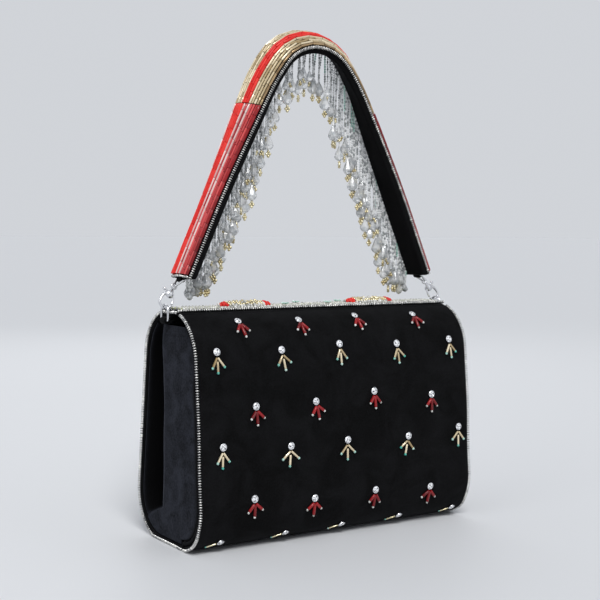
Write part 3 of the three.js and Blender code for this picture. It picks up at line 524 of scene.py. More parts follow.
# fringeGlass, fringeTeal and dropGlass: the tone picks between dark and bright painted glints
fringeGlass = beadFinish("fringeGlass", color(0.26, 0.28, 0.28), color(1.0, 1.0, 1.0), 0.12, coat=0.5)
fringeTeal = beadFinish("fringeTeal", color(0.25, 0.5, 0.42), color(0.68, 0.9, 0.82), 0.12, coat=0.5)
dropGlass = beadFinish(
    "dropGlass", color(0.62, 0.65, 0.67), color(1.0, 1.0, 1.0), 0.08, clear=0.6, coat=0.3)
tealGlass = beadFinish("tealGlass", color(0.05, 0.42, 0.33), color(0.6, 0.78, 0.7), 0.12, coat=0.6)
pearlGlass = beadFinish("pearlGlass", color(0.36, 0.36, 0.33), color(0.88, 0.87, 0.84), 0.14, coat=0.5)
paleBugle = beadFinish(
    "paleBugle", color(0.4, 0.44, 0.16), color(0.82, 0.84, 0.5), 0.16, metal=0.3, coat=0.5)
creamBugle = beadFinish(
    "creamBugle", color(0.42, 0.3, 0.14), color(0.9, 0.78, 0.55), 0.16, metal=0.3, coat=0.5)
# stoneFoil's low and high colours are the dark and bright painted reflections of the stone facets
stoneFoil = beadFinish(
    "stoneFoil", color(0.02, 0.02, 0.024), color(0.97, 0.98, 1.0), 0.06, metal=0.25, coat=0.5)
print("materials made")


# Bag outline, seen from the left end: four arcs with straight tangents

outline = {
    "length": 236.4, "height": 166.0, "footDepth": 105.0, "crownDepth": 70.5, "footRadius": 32.7,
    "crownRadius": 36.0, "hingeSetback": 14.5, "flapEnd": 80.0, "innerFrontHeight": 112.0,
    "flapBoard": 3.0, "bodyBoard": 2.6, "flapGap": 0.6, "joggleStart": 18.5, "joggleAngle": 84.0,
    "joggleEase": 1.8, "seat": 0.3,
}
lean = np.arctan2((outline["footDepth"] - outline["crownDepth"]) / 2, outline["height"])
footRadius, crownRadius = outline["footRadius"], outline["crownRadius"]
crownHeight = outline["height"] - crownRadius
footCentre = outline["footDepth"] / 2 - footRadius * (1 + np.sin(lean)) / np.cos(lean)
crownCentre = outline["footDepth"] / 2 - (crownRadius + crownHeight * np.sin(lean)) / np.cos(lean)
crownFront, crownBack = (-crownCentre, crownHeight, crownRadius), (crownCentre, crownHeight, crownRadius)
footFront, footBack = (-footCentre, footRadius, footRadius), (footCentre, footRadius, footRadius)
frontAngle, backAngle = np.pi - lean, lean
hingeAngle = np.arccos((crownCentre - outline["hingeSetback"]) / crownRadius)
flapEndAngle = np.pi + np.radians(outline["flapEnd"])
innerFront = outline["flapBoard"] + outline["flapGap"]
boardEnd = outline["length"] / 2
chainPlane = boardEnd + outline["seat"] + 1.0


# Arc: centre + (radius - inset) (cos, sin).
def arcRun(arc, start, end, inset, count):
    angle = np.linspace(start, end, count)
    reach = arc[2] - inset
    return np.stack([arc[0] + reach * np.cos(angle), arc[1] + reach * np.sin(angle)], axis=1)


# Half depth of the outline at heights, for a skin that lies inset from it.
def halfDepth(height, inset):
    crown = crownCentre + np.sqrt(np.maximum((crownRadius - inset) ** 2 - (height - crownHeight) ** 2, 0))
    foot = footCentre + np.sqrt(np.maximum((footRadius - inset) ** 2 - (height - footRadius) ** 2, 0))
    middle = outline["footDepth"] / 2 - height * np.tan(lean) - inset / np.cos(lean)
    high = crownHeight + (crownRadius - inset) * np.sin(lean)
    low = footRadius + (footRadius - inset) * np.sin(lean)
    return np.where(height > high, crown, np.where(height < low, foot, middle))


# Flap line: over the shoulder, down the front and round the lower edge.
def flapRun(inset, start=None):
    start = hingeAngle + outline["seat"] / crownRadius if start is None else start
    upper = arcRun(crownFront, start, frontAngle, inset, 40)
    lower = arcRun(footFront, frontAngle, flapEndAngle, inset, 44)
    return np.concatenate([upper, bridge(upper[-1], lower[0], 40), lower])


# Body line: top strip, back, bottom, a step up, and the inner front panel.
def bodyRun(inset, ease=0.0, start=None, inner=True):
    start = hingeAngle if start is None else start
    top = arcRun(crownFront, start, np.pi / 2, inset, 10)
    shoulder = arcRun(crownBack, np.pi / 2, backAngle, inset, 40)
    foot = arcRun(footBack, backAngle, -np.pi / 2, inset, 44)
    step = np.array([[-outline["joggleStart"] + ease, inset]])
    run = [top, shoulder, bridge(shoulder[-1], foot[0], 40), foot, bridge(foot[-1], step[0], 14), step]
    if inner:
        joggleEnd = np.pi + np.radians(outline["joggleAngle"])
        front = arcRun(footFront, joggleEnd, frontAngle, innerFront + inset, 40)
        height = outline["innerFrontHeight"]
        hem = np.array([[-halfDepth(np.array(height), innerFront + inset), height]])
        run += [bridge(step[0], front[0], 3), front, bridge(front[-1], hem[0], 24), hem]
    return np.concatenate(run)


# Board: a strip section with rounded rims stands at every station of a line;
# a point lies at outer + depth (inner - outer), at its own x along the bag.
def boardParts(outer, inner, thickness, edge=1.1, across=70):
    quarter = np.linspace(0, np.pi / 2, 6)
    flat = np.linspace(-boardEnd + edge, boardEnd - edge, across)
    rimX = boardEnd - edge + edge * np.sin(quarter)
    rimDepth = edge * (1 - np.cos(quarter))
    x = np.concatenate([flat, rimX[1:], rimX[::-1][:-1], flat[::-1], -rimX[1:], -rimX[::-1][:-1]])
    near = np.concatenate([np.zeros(across), rimDepth[1:]])
    depth = np.concatenate([near, thickness - rimDepth[::-1][:-1], np.full(across, thickness)])
    depth = np.concatenate([depth, thickness - rimDepth[1:], rimDepth[::-1][:-1]])
    place = outer[:, None] + (depth / thickness)[None, :, None] * (inner - outer)[:, None]
    points = np.concatenate([np.broadcast_to(x[None, :, None], place.shape[:2] + (1,)), place], axis=2)
    return points.reshape(-1, 3), cappedFaces(len(outer), len(x))


addPiece(
    "bodyVelvet",
    [boardParts(bodyRun(0), bodyRun(outline["bodyBoard"], outline["joggleEase"]), outline["bodyBoard"])],
    blackVelvet, "bag", ["body_shell"], sharpAngle=50)
addPiece(
    "flapVelvet", [boardParts(flapRun(0), flapRun(outline["flapBoard"]), outline["flapBoard"])],
    blackVelvet, "flap", ["flap_panel"], sharpAngle=50)
print("boards made")


# Lining: a thin cloth skin on the inside of the body line

liningCloth = {"thickness": 0.8, "reveal": 6.0, "backRise": 4.0, "halfLength": 88.0, "ripple": 0.12}


def liningRun(depth):
    front = innerFront + outline["bodyBoard"] + depth
    back = outline["bodyBoard"] + depth
    top = outline["innerFrontHeight"] - liningCloth["reveal"]
    rear = crownHeight + liningCloth["backRise"]
    start = np.array([-halfDepth(np.array(top), front), top])
    arc = arcRun(footFront, frontAngle, 1.5 * np.pi, front, 30)
    low = np.arcsin((front - footRadius) / (footRadius - back))
    rise = arcRun(footBack, low, backAngle, back, 26)
    end = np.array([halfDepth(np.array(rear), back), rear])
    run = [start[None], bridge(start, arc[0], 20), arc, bridge(arc[-1], rise[0], 10), rise]
    return np.concatenate(run + [bridge(rise[-1], end, 24), end[None]])


# Point = (x, line) with a faint ripple along the line's normal direction.
def liningParts():
    line = liningRun(outline["seat"] + liningCloth["thickness"] / 2)
    x = np.linspace(-liningCloth["halfLength"], liningCloth["halfLength"], 40)
    tangent = unit(np.gradient(line, axis=0))
    normal = np.stack([tangent[:, 1], -tangent[:, 0]], axis=1)
    s = np.arange(len(line))[:, None]
    wave = liningCloth["ripple"] * np.sin(x[None] * 0.21 + np.sin(s * 0.09) * 2) * np.sin(s * 0.13)
    place = line[:, None] + wave[..., None] * normal[:, None]
    points = np.concatenate([np.broadcast_to(x[None, :, None], place.shape[:2] + (1,)), place], axis=2)
    return points.reshape(-1, 3), [gridFaces(len(line), len(x))]


def thicken(piece, thickness):
    skin = piece.modifiers.new("cloth", "SOLIDIFY")
    skin.thickness = thickness * metre
    skin.offset = 0
    skin.use_even_offset = True


liningPiece = addPiece(
    "liningPiece", [liningParts()], liningSatin, "bag", ["lining"], closed=False)
thicken(liningPiece, liningCloth["thickness"])
print("lining made")


# Pleated ends: flat behind the front panel to an outer crease, tucked in, and back along the rear

endCloth = {
    "thickness": 1.2, "drop": 10.5, "inset": 1.2, "share": 0.63, "depth": 24.0, "foldFront": 23.0,
    "foldBack": 12.0,
    "foldRun": 5.0, "slope": 6.0, "flare": 3.0, "backRoom": 9.0, "hem": 6.5, "hemRise": 0.5,
    "flapRoom": 0.4, "lapStart": 2.0, "lapRun": 12.0, "creaseLean": 6.0, "leanStart": 85.0,
    "creaseWave": 0.5, "foldTop": 36.0, "hemRoom": 9.0,
}


# Points of five corners at stops between them, with the corners eased by neighbours' means.
def betweenCorners(corners, stops):
    low = np.minimum(stops.astype(int), corners.shape[1] - 2)
    share = (stops - low)[None]
    return meaned(corners[:, low] * (1 - share) + corners[:, low + 1] * share)


# Its front edge lies behind the front panel, and above that panel's hem it eases forward to the flap.
# The cloth lies flat below a fold line that falls from the crease to the back; above it the rear
# part is tucked in. Each level is flat + tuck * (tucked - flat); the tone is painted shade: it follows
# the tuck, darkening the recess behind the crease, and darkens the front edge, which is turned under
# and lies in shade behind the front panel.
def endParts():
    half = endCloth["thickness"] / 2
    floor = outline["bodyBoard"] + outline["seat"] + half
    top = outline["height"] - endCloth["drop"]
    foldTop, hemStart = endCloth["foldTop"], top - endCloth["hemRoom"]
    level = np.concatenate([
        np.linspace(floor, foldTop, 48), np.linspace(foldTop, hemStart, 30)[1:],
        np.linspace(hemStart, top, 19)[1:]])
    lapStart = outline["innerFrontHeight"] + endCloth["lapStart"]
    lap = easeStep(level, lapStart, lapStart + endCloth["lapRun"])
    behindPanel = innerFront + outline["bodyBoard"] + outline["seat"]
    behindFlap = outline["flapBoard"] + endCloth["flapRoom"]
    front = -halfDepth(level, behindPanel + lap * (behindFlap - behindPanel) + half)
    back = halfDepth(level, outline["bodyBoard"] + outline["seat"] + half)
    crease = front + endCloth["share"] * (back - front) + endCloth["creaseWave"] * np.sin(level * 0.1)
    crease = crease + endCloth["creaseLean"] * easeStep(level, endCloth["leanStart"], top)
    outer = np.full_like(level, boardEnd - endCloth["inset"] - half)
    inner, flare = outer - endCloth["depth"], endCloth["flare"]
    tuckY = np.minimum(crease + endCloth["slope"] + flare, back - endCloth["backRoom"])
    stops = np.concatenate([
        np.linspace(0, 1, 22)[:-1], np.linspace(1, 2, 18)[:-1], np.linspace(2, 3, 11)[:-1],
        np.linspace(3, 4, 18)])
    ridge = outer + endCloth["inset"] / 2
    tuckedX = betweenCorners(np.stack([outer, ridge, inner, inner - flare, outer], axis=1), stops)
    tuckedY = betweenCorners(np.stack([front, crease, tuckY, back, back], axis=1), stops)
    share = np.interp(stops, [0, 1, 4], [0, 0, 1])[None]
    flatX = np.broadcast_to(outer[:, None], tuckedX.shape)
    flatY = np.where(stops[None] < 1, tuckedY, crease[:, None] + share * (back - crease)[:, None])
    foldFront, foldBack = endCloth["foldFront"], endCloth["foldBack"]
    fold = np.interp(stops, [0, 1, 4], [foldFront, foldFront, foldBack])[None]
    tuck = easeStep(level[:, None] - fold, 0, endCloth["foldRun"])
    x = flatX + tuck * (tuckedX - flatX)
    y = flatY + tuck * (tuckedY - flatY)
    # a turned hem at the top and faint upright folds
    hem = easeStep(level, top - endCloth["hem"], top - endCloth["hem"] + 0.8)[:, None]
    pane = np.clip(1 - np.abs(stops - 0.5) * 2, 0, 1)[None]
    wave = 0.25 * np.sin(stops * 19)[None] * np.sin(level * 0.045)[:, None]
    x = x + endCloth["hemRise"] * hem * np.minimum(4 * pane, 1) + wave * pane
    points = np.stack([-x, y, np.broadcast_to(level[:, None], x.shape)], axis=2)
    # painted shade: darkest where the cloth is tucked into the recess, and along the front edge behind the
    # panel
    tones = easeStep(tuck * np.interp(stops, [1.0, 1.25, 3.8, 4], [0, 1, 1, 0.6])[None], 0.0, 0.9)
    tones = np.maximum(tones, np.interp(stops, [0, 0.05, 0.1], [1, 0.8, 0])[None])
    return (points.reshape(-1, 3), [gridFaces(len(level), len(stops))]), tones.ravel()


# the end cloth's tones are painted shade for the recess and the front edge
endShape, endPaintedShade = endParts()
leftEnd, rightEnd = bothEnds(endShape)
for side, parts in (("Left", leftEnd), ("Right", rightEnd)):
    piece = addPiece(
        "endCloth" + side, [parts], endVelvet, "bag", ["gusset_" + side.lower()],
        sharpAngle=60, tones=endPaintedShade, closed=False)
    thicken(piece, endCloth["thickness"])


# Edge chain: oval beads lie side by side, crosswise to a line

ballChain = {
    "size": (1.3, 0.72, 1.15), "pitch": 1.8, "inset": 0.3, "flapGap": 0.8, "bodyGap": 5.2,
    "topSetback": 3.4, "setIn": 0.7, "dip": 1.6, "dipAt": 2.0, "dipWidth": 6.5,
}
chainBall = ballParts(8, 5)


# Axes of beads along a path: across it in the way of a hint, along it, and out.
def chainParts(path, across):
    places = evenly(path, ballChain["pitch"])
    along = unit(np.gradient(places, axis=0))
    wide = unit(np.broadcast_to(across, along.shape))
    axes = np.stack([wide, along, np.cross(wide, along)], axis=-1)
    return scatterParts(chainBall, places, axes, ballChain["size"])


# The line of an edge, set in on the corner of the board and kept a bead's height above the floor. Under
# the ring it dips by dip * exp(-((y - middle) / width)^2).
def inPlane(line, side):
    x = np.full(len(line), side * (chainPlane - ballChain["setIn"]))
    y, z = line.T
    away = (y - ballChain["dipAt"]) / ballChain["dipWidth"]
    dip = ballChain["dip"] * np.exp(-away ** 2) * (z > crownHeight)
    return np.column_stack([x, y, np.maximum(z - dip, ballChain["size"][2] + 0.05)])


def addChain(name, runs, body, replaced):
    tones = np.concatenate([eachTone(chainBall, dice.random(len(p) // len(chainBall[0]))) for p, _ in runs])
    return addPiece(name, runs, silverBall, body, replaced, sharpAngle=80, tones=tones)


flapLine = flapRun(ballChain["inset"], hingeAngle + ballChain["flapGap"] / crownRadius)
bodyLine = bodyRun(ballChain["inset"], 0.0, hingeAngle - ballChain["bodyGap"] / crownRadius, inner=False)
sideways, endways = np.array([1.0, 0, 0]), np.array([0, 1.0, 0])
addChain(
    "flapChain", [chainParts(inPlane(flapLine, side), sideways) for side in (-1, 1)], "flap",
    ["flap_chain_left", "flap_chain_right"])
addChain(
    "bodyChain", [chainParts(inPlane(bodyLine, side), sideways) for side in (-1, 1)], "bag",
    ["body_chain_left", "body_chain_right"])
chainAngle = hingeAngle - ballChain["topSetback"] / crownRadius
topLine = arcRun(crownFront, chainAngle, chainAngle, -outline["seat"] - ballChain["size"][2], 1)[0]
lineY, lineZ = topLine
topEnds = [np.array([[-boardEnd, y, lineZ], [boardEnd, y, lineZ]]) for y in (lineY, -lineY)]
addChain(
    "topChain", [chainParts(ends, endways) for ends in topEnds], "bag",
    ["top_chain_front", "top_chain_rear"])
print("edge chains made")


# Beads on the top strip: lengthwise rows, two raised clusters and small sparks

topField = {
    "margin": 4.2, "pearlRow": 8.9, "pearlRadius": 1.3, "pearlPitch": 2.75, "bugleRows": (6.7, 2.9),
    "bugleLength": 8.0, "bugleRadius": 0.8, "seedRows": (4.8, 1.0), "seedRadius": 0.95, "seedPitch": 2.0,
    "sparks": ((-27.2, -5.2), (11.0, -5.0), (-11.0, 5.0), (27.2, 5.2)), "sparkLength": 2.8,
    "sparkSpokes": 5, "sparkLift": 2.4, "sparkReach": 1.6, "sparkRadius": 0.5, "sparkRise": 0.25,
    "sparkTurn": 0.3,
}
seedBall = ballParts(7, 4)
bugle = bugleParts(8)


# Height of the top strip at a depth: flat in the middle, the shoulder arcs outside.
def topHeight(y):
    past = np.maximum(np.abs(y) - crownCentre, 0)
    return crownHeight + np.sqrt(crownRadius ** 2 - past ** 2) + outline["seat"]


# Rows: every x with every y, each lifted by a radius off the strip.
def topRow(ys, pitch, lift, phase=0.0):
    reach = boardEnd - topField["margin"]
    x = np.arange(-reach + pitch * (0.5 + phase), reach, pitch)
    x, y = (v.ravel() for v in np.meshgrid(x, np.array(ys)))
    return np.stack([x, y, topHeight(y) + lift], axis=1)


def bothSides(values):
    return [s * v for v in values for s in (-1, 1)]


alongX = axesAlong(np.array([1.0, 0, 0]), np.array([0, 0, 1.0]))
pearls = topRow(bothSides([topField["pearlRow"]]), topField["pearlPitch"], topField["pearlRadius"])
addBeads(
    "topPearls", seedBall, pearls, np.eye(3), topField["pearlRadius"], pearlGlass, "bag",
    ["top_beads"])
lines = topRow(bothSides(topField["bugleRows"]), topField["bugleLength"] + 0.5, topField["bugleRadius"])
lineSize = (topField["bugleRadius"], topField["bugleRadius"], topField["bugleLength"])
addBeads("topBugles", bugle, lines, alongX, lineSize, paleBugle, "bag", sharpAngle=40)
seeds = topRow(bothSides(topField["seedRows"]), topField["seedPitch"], topField["seedRadius"])
addBeads(
    "topSeeds", seedBall, seeds, np.eye(3), topField["seedRadius"], pearlGlass, "bag")

# Sparks: short bugles stand out like spokes round a place.
spokes = np.linspace(0, 2 * np.pi, topField["sparkSpokes"], endpoint=False) + topField["sparkTurn"]
centres = np.array([(x, y, topHeight(np.array(y)) + topField["sparkLift"]) for x, y in topField["sparks"]])
sparkRise = np.full(len(spokes), topField["sparkRise"])
direction = unit(np.stack([np.cos(spokes), np.sin(spokes), sparkRise], axis=1))
ray = np.broadcast_to(direction[None], (len(centres),) + direction.shape).reshape(-1, 3)
sparkPlace = (centres[:, None] + topField["sparkReach"] * direction[None]).reshape(-1, 3)
sparkAxes = axesAlong(ray, np.array([0, 0, 1.0]))
sparkSize = (topField["sparkRadius"], topField["sparkRadius"], topField["sparkLength"])
addBeads(
    "topSparks", bugle, sparkPlace, sparkAxes, sparkSize, fringeTeal, "bag", sharpAngle=40)

cluster = {
    "middles": (-59.5, 52.0), "length": 42.0, "width": 14.0, "height": 2.9, "base": 167.8, "radius": 1.15,
    "redShare": 0.83, "redReach": 3.3, "redFront": -2.6, "redLift": 0.3,
}


# Cluster: beads over a half ellipsoid; x along, an angle across, both shaken a little. A round of
# red beads marks each end, clear ones run round the rim and gold ones fill the middle.
def clusterPlaces(middle):
    share, angle = np.meshgrid(
        np.linspace(-0.97, 0.97, 20), np.radians(np.linspace(-80, 80, 9)), indexing="ij")
    share = (share + dice.normal(0, 0.012, share.shape)).ravel()
    angle = (angle + dice.normal(0, 0.06, angle.shape)).ravel()
    swell = np.sqrt(np.clip(1.1 - share ** 2, 0, 1))
    lift = cluster["height"] + dice.normal(0, 0.3, share.shape)
    x = share * cluster["length"] / 2
    y = cluster["width"] / 2 * swell * np.sin(angle)
    redX = cluster["redShare"] * cluster["length"] / 2
    red = np.hypot(np.abs(x) - redX, y - cluster["redFront"]) < cluster["redReach"]
    rim = (np.abs(angle) > 1.1) | (np.abs(share) > 0.9) | (dice.random(len(x)) < 0.2)
    z = cluster["base"] + lift * swell * np.cos(angle) + cluster["redLift"] * red
    place = np.stack([middle + x, y, z], axis=1)
    return place, np.where(red, 2, np.where(rim, 1, 0))


found = [clusterPlaces(middle) for middle in cluster["middles"]]
clusterBeads, clusterKind = (np.concatenate([f[k] for f in found]) for k in (0, 1))
clusterSorts = (
    ("clusterGold", paleGold, "gold_beads", ["bead_cluster_left", "bead_cluster_right"]),
    ("clusterPale", pearlGlass, "crystal_beads", []),
    ("clusterRed", coralGlass, "red_beads", []),
)
for index, (name, material, slotName, replaced) in enumerate(clusterSorts):
    places = clusterBeads[clusterKind == index]
    radius = cluster["radius"] * (1 + dice.normal(0, 0.08, len(places)))
    size = np.repeat(radius[:, None], 3, axis=1)
    addBeads(name, seedBall, places, np.eye(3), size, material, "bag", replaced)
print("top beads made")


# Sewn motifs on the flap: a stone with three splayed bugles and a bead at each tip

motif = {
    "stoneRadius": 2.5, "gap": 0.15,
    "red": {
        "radius": 1.12, "tip": 0.95, "apex": 2.9, "near": (1.0, 1.2, 1.0), "far": (7.1, 9.4, 7.1),
        "sewn": (
            (-79, 12, -34, 6, 41), (-29, 13, -38, 2, 35), (22, 11, -34, 3, 38), (76, 12, -41, -2, 44),
            (-74, 74, -37, 3, 48), (-24, 74, -32, 10, 54), (28, 70, -34, 3, 41), (82, 76, -41, -2, 37),
            (-77, 138, -40, 1, 51), (-27, 143, -50, 2, 49), (27, 143, -40, -2, 35), (79, 146, -53, -2, 45),
        ),
    },
    "gold": {
        "radius": 0.78, "tip": 1.05, "apex": 3.5, "near": (0.6, 3.0, 0.6), "far": (7.4, 10.0, 7.7),
        "sewn": (
            (-103, 35, -28, 1, 38), (-51, 36, -28, 11, 50), (-1, 34, -22, 4, 38),
            (51, 36, -22, 7, 45), (102, 35, -26, 7, 41), (-101, 100, -30, -2, 36),
            (-46, 104, -49, -5, 49), (3, 104, -42, -1, 46), (59, 106, -53, -13, 38),
            (108, 103, -44, -1, 39),
        ),
    },
    "low": {
        "radius": 0.55, "tip": 0.7, "apex": 0.0, "near": (3.2,), "far": (10.0,),
        "sewn": ((-99, 170, -64), (-46, 170, -60), (3, 170, -63), (56, 170, -64), (108, 170, -62)),
    },
}
flapFace = flapRun(0, hingeAngle)
flapLength = np.concatenate([[0], np.cumsum(np.linalg.norm(np.diff(flapFace, axis=0), axis=1))])
flapSlope = np.gradient(flapFace, flapLength, axis=0)


# Place on the flap's face: x, and a length down from the hinge; with its down and out directions.
def onFlap(x, length):
    place = np.stack([x] + [np.interp(length, flapLength, flapFace[:, k]) for k in (0, 1)], axis=1)
    down = np.stack([0 * x] + [np.interp(length, flapLength, flapSlope[:, k]) for k in (0, 1)], axis=1)
    down = unit(down)
    return place, down, np.cross(down, np.array([1.0, 0, 0]))


# Each row of a kind gives a stone's x, its length down from the hinge and its spokes' degrees. Spokes
# lie on the face and start from one point below the stone: apex + reach * (sin angle, cos angle).
def motifParts(kind):
    values = motif[kind]
    sewn = np.array(values["sewn"], float)
    x, length, angle = sewn[:, 0], sewn[:, 1], np.radians(sewn[:, 2:])
    place, down, out = onFlap(x, length)
    side = np.cross(down, out)
    axes = np.stack([side, np.cross(out, side), out], axis=-1)
    tilt = angle[:, angle.shape[1] // 2, None]
    apexX = x[:, None] + values["apex"] * np.sin(tilt)
    apexS = length[:, None] + values["apex"] * np.cos(tilt)
    far = np.array(values["far"])[None] + dice.normal(0, 0.25, angle.shape)
    ends = []
    for reach in (np.array(values["near"])[None], far, far + 0.85 * values["tip"]):
        across, along = apexX + reach * np.sin(angle), apexS + reach * np.cos(angle)
        point, _, away = onFlap(across.ravel(), along.ravel())
        ends.append(point + away * (values["radius"] + motif["gap"]))
    return {
        "stones": place + out * motif["gap"], "axes": axes, "middle": (ends[0] + ends[1]) / 2,
        "line": ends[1] - ends[0], "tips": ends[2],
    }


stone, paintedStoneGlints = stoneParts()
cup = latheParts([(0.6, 0.0), (1.05, 0.0), (1.14, 0.22), (1.1, 0.42), (1.0, 0.4), (0.9, 0.2)], 12)
motifKinds = ("red", "gold", "low")
motifs = {kind: motifParts(kind) for kind in motifKinds}

stonePlaces = np.concatenate([motifs[k]["stones"] for k in motifKinds])
stoneAxes = np.concatenate([motifs[k]["axes"] for k in motifKinds])
stoneTurn = dice.random(len(stonePlaces)) * 2 * np.pi
cosine, sine = np.cos(stoneTurn)[:, None], np.sin(stoneTurn)[:, None]
first, second = stoneAxes[:, :, 0], stoneAxes[:, :, 1]
first, second = first * cosine + second * sine, second * cosine - first * sine
stoneAxes = np.stack([first, second, stoneAxes[:, :, 2]], axis=-1)
# the stones' facet tones are painted reflections
addPiece(
    "flapStones", [scatterParts(stone, stonePlaces, stoneAxes, motif["stoneRadius"])], stoneFoil, "flap",
    sharpAngle=2, tones=np.tile(paintedStoneGlints, len(stonePlaces)), closed=False)
addPiece(
    "flapCups", [scatterParts(cup, stonePlaces, stoneAxes, motif["stoneRadius"])], silverPlate, "flap")
for kind, material, tipMaterial, slotName in (
    ("red", darkRedGlass, pearlGlass, "red_beads"), ("gold", creamBugle, tealGlass, "gold_beads"),
    ("low", paleGold, tealGlass, "gold_beads"),
):
    line = motifs[kind]["line"]
    length = np.linalg.norm(line, axis=1)
    size = np.stack([np.full_like(length, motif[kind]["radius"])] * 2 + [length], axis=1)
    axes = axesAlong(line, np.array([0.3, -0.7, 0.6]))
    addBeads(
        kind + "Spokes", bugle, motifs[kind]["middle"], axes, size, material, "flap", sharpAngle=40)
    addBeads(
        kind + "SpokeTips", seedBall, motifs[kind]["tips"], np.eye(3), motif[kind]["tip"], tipMaterial,
        "flap")
print("flap motifs made")


# Handle: the arch's line is a top arc, two wide side arcs and straight legs

arch = {
    "ringOut": 121.8, "ringBack": 2.0, "rise": 196.5, "endRise": 22.0, "setIn": 16.8, "topTurn": 54.0,
    "sideRadius": 150.0, "legLean": 24.0, "crownTwist": 28.0, "legTwist": -3.0, "twistReach": 165.0,
    "back": 5.0, "width": 28.0, "thickness": 8.0, "edge": 1.4, "crown": 2.0, "edgeDrop": 1.2,
    "endRound": 3.2,
}
ring = {"radius": 5.0, "wire": 0.95, "leg": 6.0, "corner": 2.0, "axis": 165.0}
topTurn, legTurn = np.radians(arch["topTurn"]), np.pi / 2 - np.radians(arch["legLean"])
sideDrop = arch["sideRadius"] * (np.cos(topTurn) - np.cos(legTurn))
sideRun = arch["sideRadius"] * (np.sin(legTurn) - np.sin(topTurn))
legRun = (arch["rise"] - arch["endRise"] - sideDrop) / np.tan(legTurn)
archGain = np.sin(topTurn) - (1 - np.cos(topTurn)) / np.tan(legTurn)
topRadius = (arch["ringOut"] - arch["setIn"] - sideRun - legRun) / archGain
topLength = topRadius * topTurn
sideLength = arch["sideRadius"] * (legTurn - topTurn)
topDrop = topRadius * (1 - np.cos(topTurn))
legLength = (arch["rise"] - arch["endRise"] - topDrop - sideDrop) / np.sin(legTurn)
strapReach = topLength + sideLength + legLength
strapY = arch["ringBack"] + arch["back"]


# Station at a length from the top, negative to the left: place, slope, and the twisted section's axes.
def strapFrame(reach):
    run, side = np.abs(reach), np.sign(reach)
    first = np.minimum(run, topLength) / topRadius
    second = np.clip(run - topLength, 0, sideLength) / arch["sideRadius"]
    leg = np.maximum(run - topLength - sideLength, 0)
    turn = first + second
    x = topRadius * np.sin(first) + arch["sideRadius"] * (np.sin(turn) - np.sin(first)) + leg * np.cos(turn)
    drop = topRadius * (1 - np.cos(first)) + arch["sideRadius"] * (np.cos(first) - np.cos(turn))
    drop = drop + leg * np.sin(turn)
    z = outline["height"] + arch["rise"] - drop
    fade = easeStep(arch["twistReach"] - run, 0, arch["twistReach"])
    twist = np.radians(arch["legTwist"] + (arch["crownTwist"] - arch["legTwist"]) * fade)[:, None]
    turn = side * turn
    outward = np.stack([np.sin(turn), np.zeros_like(turn), np.cos(turn)], axis=1)
    rear = np.array([[0.0, 1.0, 0.0]])
    across = rear * np.cos(twist) + outward * np.sin(twist)
    out = outward * np.cos(twist) - rear * np.sin(twist)
    place = np.stack([side * x, np.full_like(x, strapY), z], axis=1)
    return {"place": place, "across": across, "out": out, "outward": outward, "twist": twist[:, 0]}


# A point of the strap's section: u across to the rear, v outward.
def onStrap(reach, u, v):
    at = strapFrame(reach)
    return at["place"] + np.asarray(u)[..., None] * at["across"] + np.asarray(v)[..., None] * at["out"]


# Outer face of the section: v = edge height + crown * (1 - (u / half width)^2).
def outerFace(u):
    half = arch["width"] / 2 - arch["edge"]
    return arch["thickness"] / 2 - arch["edgeDrop"] + arch["crown"] * np.maximum(1 - (u / half) ** 2, 0)


# Strap: a rounded section with full faces, carried along the arch. At both ends the inner face turns up
# on a quarter circle: depth * (1 - round / depth * (1 - sqrt(1 - t^2))).
def strapParts():
    turned = strapReach - arch["endRound"] * (1 - np.sin(np.linspace(0, np.pi / 2, 8)))
    reach = np.concatenate([-turned[::-1], np.linspace(-turned[0], turned[0], 181)[1:-1], turned])
    t = np.clip((np.abs(reach) - turned[0]) / arch["endRound"], 0, 1)
    depth = 1 - arch["endRound"] / (arch["thickness"] / 2) * (1 - np.sqrt(1 - t ** 2))
    halfW, halfT, edge = arch["width"] / 2, arch["thickness"] / 2, arch["edge"]
    quarter = np.linspace(0, np.pi / 2, 6)
    cornerU = halfW - edge + edge * np.sin(quarter)
    inner = halfT - edge + edge * np.cos(quarter)
    outer = inner - arch["edgeDrop"]
    flatU = np.linspace(-(halfW - edge), halfW - edge, 15)[1:-1]
    full = 0.35 * (1 - (flatU / halfW) ** 2)
    u = np.concatenate([flatU, cornerU, cornerU[::-1], flatU[::-1], -cornerU, -cornerU[::-1]])
    v = np.concatenate([outerFace(flatU), outer, -inner[::-1], -halfT - full, -inner, outer[::-1]])
    at = strapFrame(reach)
    v = np.where(v[None] < 0, v[None] * depth[:, None], v[None])
    points = at["place"][:, None] + u[None, :, None] * at["across"][:, None]
    points = points + v[..., None] * at["out"][:, None]
    return points.reshape(-1, 3), cappedFaces(len(reach), len(u))


strapPad = addPiece("strapPad", [strapParts()], strapVelvet, "handle", ["strap"], sharpAngle=50)

strapEdge = {"out": 0.2, "drop": 1.3, "pitch": 1.66, "size": (1.25, 0.66, 1.35), "endSize": (0.9, 0.7, 1.1)}


